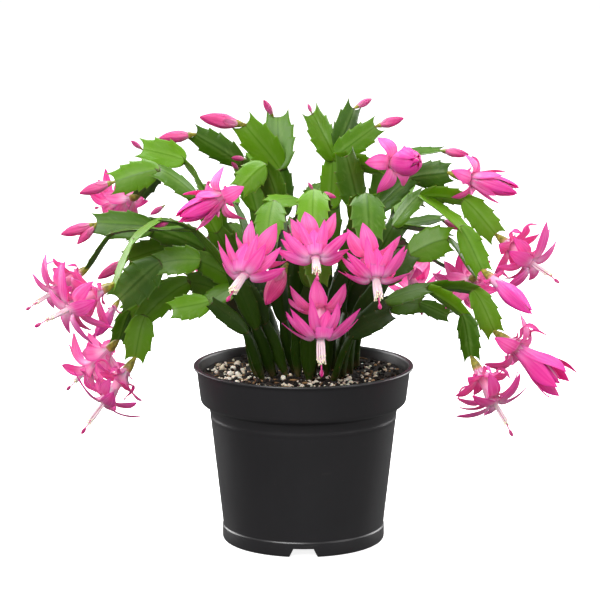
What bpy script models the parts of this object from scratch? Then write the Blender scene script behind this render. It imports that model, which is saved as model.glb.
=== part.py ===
"""Potted christmas cactus: a nursery pot, its soil, arching flat stems, flowers and buds.

The pot's axis is Z, its foot stands on z = 0 and -Y is its front. Blender works in metres.
The sizes and places below are written in millimetres and MM turns them into metres.
"""
import math

import bmesh
import bpy
from mathutils import Matrix, Vector

MM = 0.001
OBJECT_NAME = "potted_christmas_cactus"
MERGE_DISTANCE = 0.00005
CLEARANCE = 0.3

# Pot, a turned plastic shell
POT_HEIGHT = 125.0
LIP_RADIUS = 77.5
LIP_THICKNESS = 1.6
COLLAR_TOP_RADIUS = 75.3
COLLAR_BOTTOM_RADIUS = 72.5
COLLAR_HEIGHT = 25.7
STEP_HEIGHT = 4.0
BODY_TOP_RADIUS = 66.3
RING_BELOW_STEP = 7.0
RING_PROUD = 0.5
BODY_BOTTOM_RADIUS = 56.9
FOOT_RADIUS = 57.4
FOOT_HEIGHT = 10.0
FOOT_WIDTH = 5.0
FOOT_EDGE = 1.2
WALL = 1.3
FLOOR_UNDERSIDE = 7.0
FLOOR_TOP = 8.6
PAD_RADIUS = 15.0
PAD_DRAFT = 3.0
TURN_STEPS = 36

# Drain notches through the foot, and the holes in the floor behind them
NOTCH_COUNT = 3
DRAIN_COUNT = 6
NOTCH_TOP_WIDTH = 14.0
NOTCH_BOTTOM_WIDTH = 21.0
NOTCH_HEIGHT = 6.2
NOTCH_REACH = 12.0
DRAIN_RADIUS = 4.5
DRAIN_CIRCLE = 42.0

# Soil
SOIL_TOP = POT_HEIGHT - 7.0

# Stem segments: (share of the length, share of the half width, half thickness)
SEGMENT_STATIONS = ((0.18, 0.78, 1.3), (0.50, 1.0, 1.4), (0.88, 0.80, 1.2))
JOINT_HALF_WIDTH = 1.9
JOINT_HALF_THICKNESS = 1.1
FOOT_HALF_WIDTH = 3.2
TIP_SHARE = 0.34
BRANCH_OVERLAP = 0.4
BRANCH_HALF_WIDTH = 1.0
BRANCH_HALF_THICKNESS = 0.6

# Stems: the joints of each chain from the soil up (x, y, z), then for each segment its width
# and its twist, the angle between its broad side and the level, about the segment's own line.
STEMS = {
    "stem_left_high": (
        [(-13, 33, 118), (-29, 26, 153), (-43, 32, 188), (-58, 38, 218), (-71, 40, 243),
         (-85, 40, 264), (-114, 40, 272)],
        [11, 15, 18, 18, 18, 21], [60, 80, 70, 60, 20, -50]),
    "stem_left_upper": (
        [(-22, 19, 118), (-33, 10, 155), (-46, 6, 190), (-61, 2, 220), (-76, 0, 245),
         (-101, -2, 263), (-131, -2, 255)],
        [11, 16, 18, 18, 20, 20], [60, 80, 70, 60, -40, -60]),
    "stem_left_mid": (
        [(-28, 7, 118), (-38, 0, 155), (-53, 4, 183), (-70, 6, 207), (-106, 8, 221),
         (-145, 8, 224)],
        [11, 16, 18, 21, 20], [60, 70, 60, 75, -70]),
    "stem_left_arch": (
        [(-20, -7, 118), (-33, -31, 158), (-48, -44, 196), (-74, -46, 228), (-97, -54, 236),
         (-115, -59, 223), (-128, -62, 194)],
        [11, 16, 18, 18, 18, 17], [50, 40, 20, 0, 0, 0]),
    "stem_left_bud": (
        [(-28, 25, 118), (-39, 18, 155), (-58, 22, 178), (-71, 24, 197), (-98, 26, 204),
         (-124, 26, 196)],
        [11, 16, 18, 20, 19], [60, 70, 70, 75, 75]),
    "stem_left_wide": (
        [(-11, -5, 118), (-27, -18, 159), (-44, -23, 187), (-72, -28, 204), (-99, -30, 202),
         (-127, -30, 177)],
        [11, 16, 19, 20, 24], [60, 60, 70, -70, -75]),
    "stem_left_low": (
        [(-32, -5, 118), (-39, -14, 151), (-57, -9, 179), (-80, -10, 186), (-111, -10, 161),
         (-118, -10, 132)],
        [11, 16, 19, 20, 19], [60, 70, 70, 80, 85]),
    "stem_left_dark": (
        [(-28, -17, 118), (-40, -38, 156), (-63, -44, 177)], [10, 13], [70, -80]),
    "stem_top_left": (
        [(-4, 37, 118), (-13, 42, 152), (-23, 50, 189), (-33, 54, 227), (-45, 56, 260),
         (-77, 56, 281)],
        [11, 17, 19, 19, 18], [70, 70, 80, 80, 80]),
    "stem_front_left": (
        [(-6, 7, 118), (-14, -6, 158), (-18, -12, 198), (-16, -18, 236), (-27, -26, 269),
         (-43, -38, 256)],
        [11, 16, 18, 18, 18], [70, 60, 50, 40, -50]),
    "stem_top_pair": (
        [(2, 29, 118), (-8, 24, 156), (-12, 26, 194), (-14, 28, 227), (-17, 28, 260),
         (-41, 20, 292)],
        [11, 17, 18, 17, 22], [60, 80, 80, 10, 85]),
    "stem_top_fan": (
        [(11, 21, 118), (10, 12, 156), (15, 10, 196), (19, 10, 235), (21, 10, 270)],
        [11, 17, 18, 17], [60, 80, 85, -15]),
    "stem_mid_dark": (
        [(20, 11, 118), (21, -2, 159), (30, -6, 199), (37, -12, 238), (29, -18, 275)],
        [11, 17, 19, 22], [60, 80, 85, 88]),
    "stem_front_a": (
        [(-4, -5, 118), (-4, -20, 163), (-2, -28, 203), (1, -38, 245), (-20, -64, 249),
         (-24, -86, 229)],
        [11, 17, 19, 20, 20], [20, 10, 10, -20, 0]),
    "stem_front_b": (
        [(7, -7, 118), (5, -26, 163), (9, -36, 202), (11, -46, 240), (7, -66, 257),
         (6, -86, 236)],
        [11, 17, 18, 19, 21], [10, 0, 0, 0, 0]),
    "stem_front_c": (
        [(16, -3, 118), (18, -20, 161), (29, -30, 198), (37, -40, 233), (42, -62, 254),
         (44, -84, 230)],
        [11, 17, 18, 19, 22], [10, 0, 0, 0, 0]),
    "stem_front_d": (
        [(4, -20, 118), (3, -42, 158), (5, -54, 191), (8, -64, 219), (10, -78, 197)],
        [13, 17, 18, 17], [0, 0, 0, 0]),
    "stem_right_top": (
        [(22, 25, 118), (30, 20, 159), (42, 24, 194), (52, 26, 231), (65, 28, 268),
         (96, 28, 273)],
        [11, 17, 18, 18, 17], [60, 80, 80, 70, 5]),
    "stem_right_upper": (
        [(29, 15, 118), (34, 4, 160), (51, 2, 198), (64, 0, 224), (82, -2, 245),
         (112, -2, 242), (134, -2, 218)],
        [11, 17, 18, 18, 17, 18], [60, 70, 60, 40, -60, 80]),
    "stem_right_mid": (
        [(32, 3, 118), (37, -8, 157), (57, -10, 186), (75, -12, 206), (101, -12, 216),
         (120, -8, 190)],
        [11, 16, 18, 22, 12], [60, 60, 60, 80, 20]),
    "stem_right_bud": (
        [(26, 31, 118), (35, 30, 160), (53, 32, 193), (70, 30, 219), (97, 30, 224)],
        [11, 16, 17, 17], [60, 70, 50, 10]),
    "stem_right_low": (
        [(26, -9, 118), (34, -24, 151), (58, -30, 175), (86, -32, 185), (117, -30, 183),
         (132, -28, 154)],
        [11, 16, 17, 16, 17], [60, 60, 30, -40, 80]),
    "stem_right_leaf": (
        [(37, 21, 118), (41, 16, 148), (60, 13, 165), (83, 10, 166), (102, 8, 158)],
        [11, 16, 17, 12], [60, 50, 60, 60]),
    "stem_right_dark": (
        [(20, -19, 118), (33, -38, 153), (60, -46, 170)], [11, 15], [70, 80]),
    "stem_back_left": (
        [(-15, 41, 118), (-26, 54, 156), (-38, 78, 192), (-54, 106, 208), (-66, 136, 190)],
        [11, 17, 19, 19], [0, 10, 0, 0]),
    "stem_back_mid": (
        [(4, 45, 118), (4, 58, 158), (2, 84, 194), (-4, 114, 210), (-6, 146, 196)],
        [11, 17, 19, 20], [0, 0, 0, 0]),
    "stem_back_right": (
        [(19, 39, 118), (30, 54, 156), (44, 78, 190), (62, 104, 202), (76, 130, 182)],
        [11, 17, 19, 19], [0, -10, 0, 0]),
}

# Side branches: the stem and the number of the joint that each one forks from, its further
# joints, and the widths and twists of its segments.
BRANCHES = (
    ("stem_left_upper", 5, [(-115, 22, 242)], [14], [40]),
    ("stem_left_arch", 3, [(-106, -22, 225), (-133, -12, 220), (-149, -6, 196)],
     [18, 17, 16], [0, 0, 0]),
    ("stem_left_wide", 2, [(-66, -37, 176), (-90, -42, 172)], [17, 18], [-30, -60]),
    ("stem_left_low", 3, [(-107, 10, 171), (-124, 14, 160), (-131, 14, 140)],
     [17, 17, 16], [60, 70, 50]),
    ("stem_top_pair", 4, [(-18, 41, 295)], [22], [-15]),
    ("stem_top_fan", 4, [(6, 0, 302)], [20], [88]),
    ("stem_top_fan", 4, [(35, 24, 303)], [20], [90]),
    ("stem_top_fan", 4, [(50, 2, 293)], [17], [88]),
    ("stem_top_fan", 4, [(51, -6, 266)], [19], [-50]),
    ("stem_right_top", 3, [(77, 12, 256), (101, 8, 260)], [18, 18], [70, 80]),
    ("stem_right_upper", 4, [(109, -24, 226), (123, -32, 198)], [17, 16], [0, 70]),
    ("stem_right_bud", 3, [(101, 14, 217)], [17], [-20]),
    ("stem_right_low", 3, [(110, -46, 169), (115, -50, 141)], [18, 18], [-60, 85]),
    ("stem_back_left", 2, [(-72, 86, 196), (-102, 92, 178)], [18, 18], [0, 0]),
    ("stem_back_left", 2, [(-50, 80, 227), (-66, 104, 231), (-78, 130, 212)],
     [17, 18, 19], [0, 0, 0]),
    ("stem_back_mid", 2, [(8, 92, 229), (14, 117, 236), (20, 142, 220)],
     [17, 18, 19], [0, 0, 0]),
    ("stem_back_mid", 1, [(-22, 64, 190), (-26, 82, 222), (-30, 98, 250), (-36, 122, 258)],
     [15, 17, 18, 17], [75, 20, 0, 0]),
    ("stem_back_mid", 3, [(-30, 130, 197)], [17], [0]),
    ("stem_back_left", 1, [(-52, 62, 186), (-62, 68, 222), (-74, 90, 240)],
     [15, 17, 18], [70, 60, 20]),
    ("stem_back_right", 1, [(58, 58, 188), (66, 66, 222), (78, 86, 244)],
     [15, 17, 18], [-70, -60, -20]),
    ("stem_back_right", 2, [(52, 84, 225), (68, 104, 233), (84, 126, 220)],
     [17, 18, 19], [0, 0, 0]),
    ("stem_back_right", 2, [(78, 84, 194), (106, 90, 178)], [18, 18], [0, 0]),
)

# Blooms: the kind, the end of the stem that each one grows from and its own far end.
BLOOMS = {
    "flower_front_a": ("open", (-24, -86, 229), (-50, -133, 194)),
    "flower_front_b": ("open", (6, -86, 236), (9, -139, 209)),
    "flower_front_c": ("open", (44, -84, 230), (50, -129, 188)),
    "flower_front_d": ("open", (10, -78, 197), (12, -110, 139)),
    "flower_left_outer": ("open", (-149, -6, 196), (-191, -36, 170)),
    "flower_left_arch": ("open", (-128, -62, 194), (-179, -98, 170)),
    "flower_left_low_back": ("open", (-131, 14, 140), (-170, 38, 97)),
    "flower_left_low": ("open", (-118, -10, 132), (-154, -30, 81)),
    "flower_left_hidden": ("open", (-115, 22, 242), (-150, 60, 226)),
    "flower_right_outer": ("open", (134, -2, 218), (175, -39, 189)),
    "flower_right_hidden": ("open", (120, -8, 190), (111, 42, 166)),
    "flower_right_low": ("open", (115, -50, 141), (141, -80, 91)),
    "flower_back_left": ("open", (-66, 136, 190), (-78, 164, 138)),
    "flower_back_mid": ("open", (-6, 146, 196), (-8, 176, 144)),
    "flower_back_right": ("open", (76, 130, 182), (90, 154, 130)),
    "flower_half_top_left": ("half", (-43, -38, 256), (-84, -72, 240)),
    "flower_half_top_right": ("half", (51, -6, 266), (80, -44, 276)),
    "flower_half_right_upper": ("half", (101, 8, 260), (148, -11, 250)),
    "flower_half_right_mid": ("half", (123, -32, 198), (154, -68, 175)),
    "flower_half_right_low": ("half", (132, -28, 154), (177, -56, 123)),
    "flower_half_left": ("half", (-127, -30, 177), (-142, -54, 155)),
    "bud_left_upper": ("bud", (-131, -2, 255), (-155, -10, 248)),
    "bud_left_mid": ("bud", (-145, 8, 224), (-169, -3, 218)),
    "bud_left_low": ("bud", (-124, 26, 196), (-146, 23, 182)),
    "bud_top_left": ("bud", (-77, 56, 281), (-103, 47, 279)),
    "bud_top_pair_long": ("bud", (-41, 20, 292), (-72, 8, 299)),
    "bud_top_pair_short": ("bud", (-21, 40, 295), (-28, 34, 308)),
    "bud_top_fan_mid": ("bud", (35, 24, 303), (48, 32, 309)),
    "bud_top_fan_right": ("bud", (50, 2, 293), (69, -8, 300)),
    "bud_right_top": ("bud", (96, 28, 273), (116, 20, 271)),
    "bud_right_dark": ("bud", (97, 30, 224), (111, 20, 218)),
}
BLOOM_GAP = 1.2

# Outlines of the blooms' turned cores, (radius, distance from the stem)
CORES = {
    "open": ((2.4, 2.6), (3.6, 9), (4.4, 16), (3.8, 30), (5.6, 40), (3.6, 45), (3.0, 54),
             (1.0, 56), (1.0, 62)),
    "half": ((2.4, 2.6), (3.6, 9), (4.6, 16), (5.0, 24), (8.2, 36), (6.6, 44)),
    "bud": ((1.7, 1.8), (2.3, 6), (3.9, 12), (3.4, 18)),
}
CORE_LENGTH = {"open": 63.0, "half": 52.0, "bud": 26.0}
CORE_SIDES = {"open": 6, "half": 8, "bud": 8}

# Petals: how many, the turn of the first one in degrees, then the root, two stations of
# (radius, distance from the stem, half width) and the tip
OPEN_INNER = (6, 0, (3.0, 38), (14, 37.5, 4.0), (22, 33, 4.4), (30, 24))
OPEN_OUTER = (4, 45, (2.5, 18), (9, 15.5, 3.4), (15, 10, 4.0), (20, 3))
HALF_OUTER = (5, 0, (2.5, 18), (9, 18, 3.4), (15, 15, 4.0), (21, 9))
PETALS = {"open": (OPEN_INNER, OPEN_OUTER), "half": (HALF_OUTER,), "bud": ()}
PETAL_HALF_THICKNESS = 0.7

COLOURS = {
    "charcoal_plastic": ((0.022, 0.022, 0.025), 0.45),
    "potting_mix": ((0.035, 0.022, 0.014), 0.95),
    "stem_green": ((0.10, 0.23, 0.02), 0.42),
    "petal_pink": ((0.85, 0.10, 0.38), 0.50),
    "bud_pink": ((0.72, 0.08, 0.28), 0.48),
}


def clear_scene():
    """Remove whatever the scene holds."""
    for item in list(bpy.data.objects):
        bpy.data.objects.remove(item, do_unlink=True)


def new_collection(name):
    """A new collection under the scene's own."""
    made = bpy.data.collections.new(name)
    bpy.context.scene.collection.children.link(made)
    return made


def material(name):
    """The named finish as a Principled material, made once."""
    if name in bpy.data.materials:
        return bpy.data.materials[name]
    colour, roughness = COLOURS[name]
    made = bpy.data.materials.new(name)
    made.use_nodes = True
    shader = made.node_tree.nodes["Principled BSDF"]
    shader.inputs["Base Color"].default_value = (*colour, 1.0)
    shader.inputs["Roughness"].default_value = roughness
    shader.inputs["Metallic"].default_value = 0.0
    return made


def add_object(name, mesh, collection, finish=None):
    """Link a mesh as a named object, in a finish where it has one."""
    item = bpy.data.objects.new(name, mesh)
    collection.objects.link(item)
    if finish and not mesh.materials:
        mesh.materials.append(material(finish))
    return item


def hide_guide(item):
    """Mark a cutter, which isn't part of the model."""
    item.hide_render = True
    item.display_type = "WIRE"


def to_mesh(bm, name):
    """Finish a bmesh as a mesh whose faces point out."""
    bmesh.ops.recalc_face_normals(bm, faces=bm.faces)
    mesh = bpy.data.meshes.new(name)
    bm.to_mesh(mesh)
    bm.free()
    return mesh


def profile_mesh(name, points):
    """An open outline of (radius, height) in the XZ plane, to be turned about Z."""
    bm = bmesh.new()
    corners = [bm.verts.new((radius * MM, 0.0, height * MM)) for radius, height in points]
    for start, end in zip(corners, corners[1:]):
        bm.edges.new((start, end))
    mesh = bpy.data.meshes.new(name)
    bm.to_mesh(mesh)
    bm.free()
    return mesh


def turn(item, steps):
    """Turn an outline through a full circle about Z."""
    screw = item.modifiers.new("turn", "SCREW")
    screw.steps = steps
    screw.render_steps = steps
    screw.use_merge_vertices = True
    screw.merge_threshold = MERGE_DISTANCE
    screw.use_smooth_shade = True
    return screw


def boolean(item, other, operation):
    """Cut or join another object into this one."""
    modifier = item.modifiers.new(f"{operation.lower()}_{other.name}", "BOOLEAN")
    modifier.operation = operation
    modifier.object = other
    modifier.solver = "EXACT"


def evaluated_mesh(item, name):
    """A copy of the mesh that an object's modifiers make."""
    bpy.context.view_layer.update()
    graph = bpy.context.evaluated_depsgraph_get()
    mesh = bpy.data.meshes.new_from_object(item.evaluated_get(graph))
    mesh.name = name
    return mesh


def inner_wall():
    """The inside of the pot from the lip down to the floor, as (radius, height)."""
    step_top = POT_HEIGHT - COLLAR_HEIGHT
    step_foot = step_top - STEP_HEIGHT
    return [
        (COLLAR_TOP_RADIUS - WALL, POT_HEIGHT - LIP_THICKNESS),
        (COLLAR_BOTTOM_RADIUS - WALL, step_top + WALL),
        (BODY_TOP_RADIUS - WALL, step_foot + WALL),
        (BODY_BOTTOM_RADIUS - WALL, FLOOR_TOP + WALL),
        (BODY_BOTTOM_RADIUS - 2 * WALL, FLOOR_TOP),
    ]


def outer_wall():
    """The outside of the pot from the lip down to the foot, as (radius, height)."""
    step_top = POT_HEIGHT - COLLAR_HEIGHT
    step_foot = step_top - STEP_HEIGHT
    ring = step_foot - RING_BELOW_STEP
    slope = (BODY_TOP_RADIUS - BODY_BOTTOM_RADIUS) / (step_foot - FOOT_HEIGHT)
    ring_radius = BODY_TOP_RADIUS - RING_BELOW_STEP * slope
    rounding = STEP_HEIGHT * 0.3
    return [
        (COLLAR_TOP_RADIUS, POT_HEIGHT),
        (LIP_RADIUS - LIP_THICKNESS / 2, POT_HEIGHT),
        (LIP_RADIUS, POT_HEIGHT - LIP_THICKNESS / 2),
        (LIP_RADIUS - LIP_THICKNESS / 2, POT_HEIGHT - LIP_THICKNESS),
        (COLLAR_TOP_RADIUS, POT_HEIGHT - LIP_THICKNESS - 0.4),
        (COLLAR_BOTTOM_RADIUS, step_top),
        (COLLAR_BOTTOM_RADIUS - rounding, step_top - rounding),
        (BODY_TOP_RADIUS, step_foot),
        (ring_radius + 0.1, ring + 1.0),
        (ring_radius + RING_PROUD, ring),
        (ring_radius - 0.1, ring - 1.0),
        (BODY_BOTTOM_RADIUS, FOOT_HEIGHT + 0.6),
        (FOOT_RADIUS, FOOT_HEIGHT),
        (FOOT_RADIUS, FOOT_EDGE),
        (FOOT_RADIUS - FOOT_EDGE, 0.0),
    ]


def underside():
    """The foot's inner side, the recess and the central pad, as (radius, height)."""
    return [
        (FOOT_RADIUS - FOOT_WIDTH, 0.0),
        (FOOT_RADIUS - FOOT_WIDTH - 1.0, FLOOR_UNDERSIDE),
        (PAD_RADIUS + PAD_DRAFT, FLOOR_UNDERSIDE),
        (PAD_RADIUS, 0.0),
        (0.0, 0.0),
    ]


def notch_cutter(collection):
    """A trapezoid bar along +X that cuts one drain notch through the foot."""
    bm = bmesh.new()
    bmesh.ops.create_cube(bm, size=1.0)
    for corner in bm.verts:
        at_top = corner.co.z > 0
        width = NOTCH_TOP_WIDTH if at_top else NOTCH_BOTTOM_WIDTH
        corner.co.x = (FOOT_RADIUS + math.copysign(NOTCH_REACH, corner.co.x)) * MM
        corner.co.y = math.copysign(width / 2, corner.co.y) * MM
        corner.co.z = NOTCH_HEIGHT * MM if at_top else -MM
    cutter = add_object("notch_cutter", to_mesh(bm, "notch_cutter"), collection)
    hide_guide(cutter)
    return cutter


def drain_cutter(collection):
    """A short bar on +X that cuts one drain hole through the floor."""
    bm = bmesh.new()
    place = Matrix.Translation((DRAIN_CIRCLE * MM, 0.0, FLOOR_TOP * MM))
    bmesh.ops.create_cone(
        bm, cap_ends=True, segments=10, radius1=DRAIN_RADIUS * MM, radius2=DRAIN_RADIUS * MM,
        depth=6.0 * MM, matrix=place)
    cutter = add_object("drain_cutter", to_mesh(bm, "drain_cutter"), collection)
    hide_guide(cutter)
    return cutter


def build_pot(parts, guides):
    """The pot: a turned shell with its foot notched and its floor drilled."""
    outline = inner_wall()[::-1] + outer_wall() + underside()
    outline = [(0.0, FLOOR_TOP)] + outline
    pot = add_object("pot", profile_mesh("pot", outline), parts, "charcoal_plastic")
    turn(pot, TURN_STEPS)
    front = -math.pi / 2
    for make, count in ((notch_cutter, NOTCH_COUNT), (drain_cutter, DRAIN_COUNT)):
        for number in range(count):
            cutter = make(guides)
            cutter.rotation_euler.z = front + number * math.tau / count
            boolean(pot, cutter, "DIFFERENCE")
    return pot


def build_soil(parts):
    """The plug of soil, clear of the pot's inside all round."""
    wall = inner_wall()
    collar_top, collar_foot, body_top, body_foot, floor_edge = wall
    rise = (SOIL_TOP - collar_foot[1]) / (collar_top[1] - collar_foot[1])
    top_radius = collar_foot[0] + rise * (collar_top[0] - collar_foot[0])
    outline = [
        (0.0, SOIL_TOP),
        (top_radius - CLEARANCE, SOIL_TOP),
        (collar_foot[0] - CLEARANCE, collar_foot[1] + CLEARANCE),
        (body_top[0] - CLEARANCE, body_top[1] + CLEARANCE),
        (body_foot[0] - CLEARANCE, body_foot[1] + CLEARANCE),
        (floor_edge[0] - CLEARANCE, floor_edge[1] + CLEARANCE),
        (0.0, floor_edge[1] + CLEARANCE),
    ]
    soil = add_object("soil", profile_mesh("soil", outline), parts, "potting_mix")
    turn(soil, TURN_STEPS)
    return soil


def broad_axis(along, twist):
    """The direction of a segment's width: level, then twisted about the segment."""
    level = Vector((0.0, 0.0, 1.0)).cross(along)
    if level.length < 0.1:
        level = Vector((1.0, 0.0, 0.0))
    level = (level - along * level.dot(along)).normalized()
    return Matrix.Rotation(math.radians(twist), 3, along) @ level


def ring(bm, centre, along, across, half_width, half_thickness):
    """Four corners of a flat diamond, square to the direction along."""
    side = (across - along * across.dot(along)).normalized()
    face = along.cross(side)
    offsets = (side * half_width, face * half_thickness,
               side * -half_width, face * -half_thickness)
    return [bm.verts.new((centre + offset) * MM) for offset in offsets]


def bridge(bm, rings):
    """Skin a run of rings and close both ends."""
    for low, high in zip(rings, rings[1:]):
        count = len(low)
        for index in range(count):
            following = (index + 1) % count
            bm.faces.new((low[index], low[following], high[following], high[index]))
    bm.faces.new(rings[0][::-1])
    bm.faces.new(rings[-1])


def chain_mesh(name, joints, widths, twists, rooted):
    """A chain of flat segments as one closed body, narrow at every joint."""
    points = [Vector(joint) for joint in joints]
    if rooted:
        points[0] = points[0] + Vector((0.0, 0.0, CLEARANCE))
    runs = [(end - start).normalized() for start, end in zip(points, points[1:])]
    if not rooted:
        points[0] = points[0] - runs[0] * BRANCH_OVERLAP
    sides = []
    for along, twist in zip(runs, twists):
        side = broad_axis(along, twist)
        if sides and side.dot(sides[-1]) < 0:
            side = -side
        sides.append(side)

    bm = bmesh.new()
    if rooted:
        upright = Vector((0.0, 0.0, 1.0))
        rings = [ring(bm, points[0], upright, sides[0], FOOT_HALF_WIDTH, JOINT_HALF_THICKNESS)]
    else:
        rings = [ring(
            bm, points[0], runs[0], sides[0], BRANCH_HALF_WIDTH, BRANCH_HALF_THICKNESS)]
    last = len(runs) - 1
    for index, (along, side, width) in enumerate(zip(runs, sides, widths)):
        start = points[index]
        step = points[index + 1] - start
        for share, breadth, thickness in SEGMENT_STATIONS:
            rings.append(ring(
                bm, start + step * share, along, side, width / 2 * breadth, thickness))
        if index == last:
            rings.append(ring(
                bm, points[-1], along, side, width / 2 * TIP_SHARE, JOINT_HALF_THICKNESS))
        else:
            bisector = (along + runs[index + 1]).normalized()
            between = (side + sides[index + 1]).normalized()
            rings.append(ring(
                bm, points[index + 1], bisector, between,
                JOINT_HALF_WIDTH, JOINT_HALF_THICKNESS))
    bridge(bm, rings)
    return to_mesh(bm, name)


def build_stems(parts, guides):
    """Every rooted stem, with its side branches joined to it."""
    stems = {}
    for name, (joints, widths, twists) in STEMS.items():
        mesh = chain_mesh(name, joints, widths, twists, rooted=True)
        stems[name] = add_object(name, mesh, parts, "stem_green")
    for number, (name, joint, further, widths, twists) in enumerate(BRANCHES):
        joints = [STEMS[name][0][joint]] + further
        mesh = chain_mesh(f"branch_{number}", joints, widths, twists, rooted=False)
        branch = add_object(f"branch_{number}", mesh, guides)
        hide_guide(branch)
        boolean(stems[name], branch, "UNION")
    return stems


def core_mesh(kind):
    """The turned core of a bloom, pointed at both ends."""
    outline = [(0.0, 0.0)] + list(CORES[kind]) + [(0.0, CORE_LENGTH[kind])]
    sides = CORE_SIDES[kind]
    bm = bmesh.new()
    start = bm.verts.new((0.0, 0.0, 0.0))
    end = bm.verts.new((0.0, 0.0, outline[-1][1] * MM))
    rings = []
    for radius, height in outline[1:-1]:
        turned = [math.tau * (index + 0.5) / sides for index in range(sides)]
        rings.append([
            bm.verts.new((radius * math.cos(a) * MM, radius * math.sin(a) * MM, height * MM))
            for a in turned])
    for low, high in zip(rings, rings[1:]):
        for index in range(sides):
            following = (index + 1) % sides
            bm.faces.new((low[index], low[following], high[following], high[index]))
    for index in range(sides):
        following = (index + 1) % sides
        bm.faces.new((start, rings[0][following], rings[0][index]))
        bm.faces.new((end, rings[-1][index], rings[-1][following]))
    return to_mesh(bm, f"{kind}_core")


def petal_mesh(name, root, low, high, tip, angle):
    """One petal: a thin flat loft from a point inside the core to its tip."""
    spin = Matrix.Rotation(angle, 3, "Z")
    across = spin @ Vector((0.0, 1.0, 0.0))
    places = [spin @ Vector((place[0], 0.0, place[1])) for place in (root, low, high, tip)]
    bm = bmesh.new()
    first = bm.verts.new(places[0] * MM)
    final = bm.verts.new(places[3] * MM)
    rings = []
    for index, station in ((1, low), (2, high)):
        along = (places[index + 1] - places[index - 1]).normalized()
        rings.append(ring(
            bm, places[index], along, across, station[2], PETAL_HALF_THICKNESS))
    for index in range(4):
        following = (index + 1) % 4
        bm.faces.new((first, rings[0][index], rings[0][following]))
        bm.faces.new((rings[0][index], rings[0][following],
                      rings[1][following], rings[1][index]))
        bm.faces.new((final, rings[1][index], rings[1][following]))
    return to_mesh(bm, name)


def bloom_mesh(kind, guides):
    """The mesh that every bloom of a kind shares: its core with its petals joined on."""
    core = add_object(f"{kind}_core", core_mesh(kind), guides)
    helpers = [core]
    for count, first_turn, root, low, high, tip in PETALS[kind]:
        for index in range(count):
            angle = math.radians(first_turn) + index * math.tau / count
            label = f"{kind}_petal_{len(helpers)}"
            petal = add_object(label, petal_mesh(label, root, low, high, tip, angle), guides)
            boolean(core, petal, "UNION")
            helpers.append(petal)
    mesh = evaluated_mesh(core, f"{kind}_bloom")
    for helper in helpers:
        bpy.data.objects.remove(helper, do_unlink=True)
    return mesh


def build_blooms(parts, guides):
    """Flowers and buds, each turned and sized to run from its stem to its own end."""
    meshes = {kind: bloom_mesh(kind, guides) for kind in CORES}
    for name, (kind, base, end) in BLOOMS.items():
        finish = "bud_pink" if kind == "bud" else "petal_pink"
        bloom = add_object(name, meshes[kind], parts, finish)
        start = Vector(base)
        span = Vector(end) - start
        along = span.normalized()
        bloom.location = (start + along * BLOOM_GAP) * MM
        bloom.rotation_mode = "QUATERNION"
        bloom.rotation_quaternion = along.to_track_quat("Z", "Y")
        size = (span.length - BLOOM_GAP) / CORE_LENGTH[kind]
        bloom.scale = (size, size, size)


def main():
    """Build the whole model."""
    clear_scene()
    parts = new_collection(OBJECT_NAME)
    guides = new_collection("guides")
    build_pot(parts, guides)
    build_soil(parts)
    build_stems(parts, guides)
    build_blooms(parts, guides)


main()
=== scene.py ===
"""The looks of a potted christmas cactus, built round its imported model.

Sizes and places are in millimetres and MM turns them into metres. The pot's axis is Z, its foot
stands on z = 0 and -Y is the plant's front.
"""
import logging
import math
import random
from dataclasses import dataclass
from enum import Enum
from typing import Any, Iterable, Sequence

import bmesh
import bpy
import numpy as np
from mathutils import Matrix, Vector, noise


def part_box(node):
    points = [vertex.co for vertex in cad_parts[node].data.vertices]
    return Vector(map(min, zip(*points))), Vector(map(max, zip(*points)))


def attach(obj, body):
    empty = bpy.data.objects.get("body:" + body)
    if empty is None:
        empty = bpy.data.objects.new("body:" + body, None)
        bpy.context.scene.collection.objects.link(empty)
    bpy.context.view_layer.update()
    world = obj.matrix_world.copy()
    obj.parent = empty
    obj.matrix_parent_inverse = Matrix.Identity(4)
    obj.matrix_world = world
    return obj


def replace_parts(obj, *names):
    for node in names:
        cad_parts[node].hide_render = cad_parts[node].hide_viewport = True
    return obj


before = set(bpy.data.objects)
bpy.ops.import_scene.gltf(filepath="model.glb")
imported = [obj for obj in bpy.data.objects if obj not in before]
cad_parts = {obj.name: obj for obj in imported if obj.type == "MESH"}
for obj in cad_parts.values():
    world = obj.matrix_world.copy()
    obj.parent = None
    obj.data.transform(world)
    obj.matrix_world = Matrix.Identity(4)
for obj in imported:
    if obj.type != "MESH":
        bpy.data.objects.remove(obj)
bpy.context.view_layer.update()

MM = 0.001
BODY = "root"
LOG = logging.getLogger("christmas_cactus")
SOIL_SEED = 11
STEM_SEED = 100
BLOOM_SEED = 500
SMALL_BUD_SEED = 900
GOLDEN_TURN = 2.39996

Point = tuple[float, float, float]
Colour = tuple[float, float, float]
Path = tuple[tuple[float, float], ...]


class Slot(Enum):
    """The record's material slots."""

    POT = "pot_plastic"
    SOIL = "potting_mix"
    PERLITE = "perlite"
    BARK = "bark"
    STEM = "stem_green"
    PETAL = "petal_pink"
    BUD = "bud_pink"
    STAMEN = "stamen_cream"
    STYLE = "style_magenta"
    RECEPTACLE = "receptacle_olive"


class Kind(Enum):
    """How far a bloom has opened."""

    OPEN = "open"
    HALF = "half"
    BUD = "bud"


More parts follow.
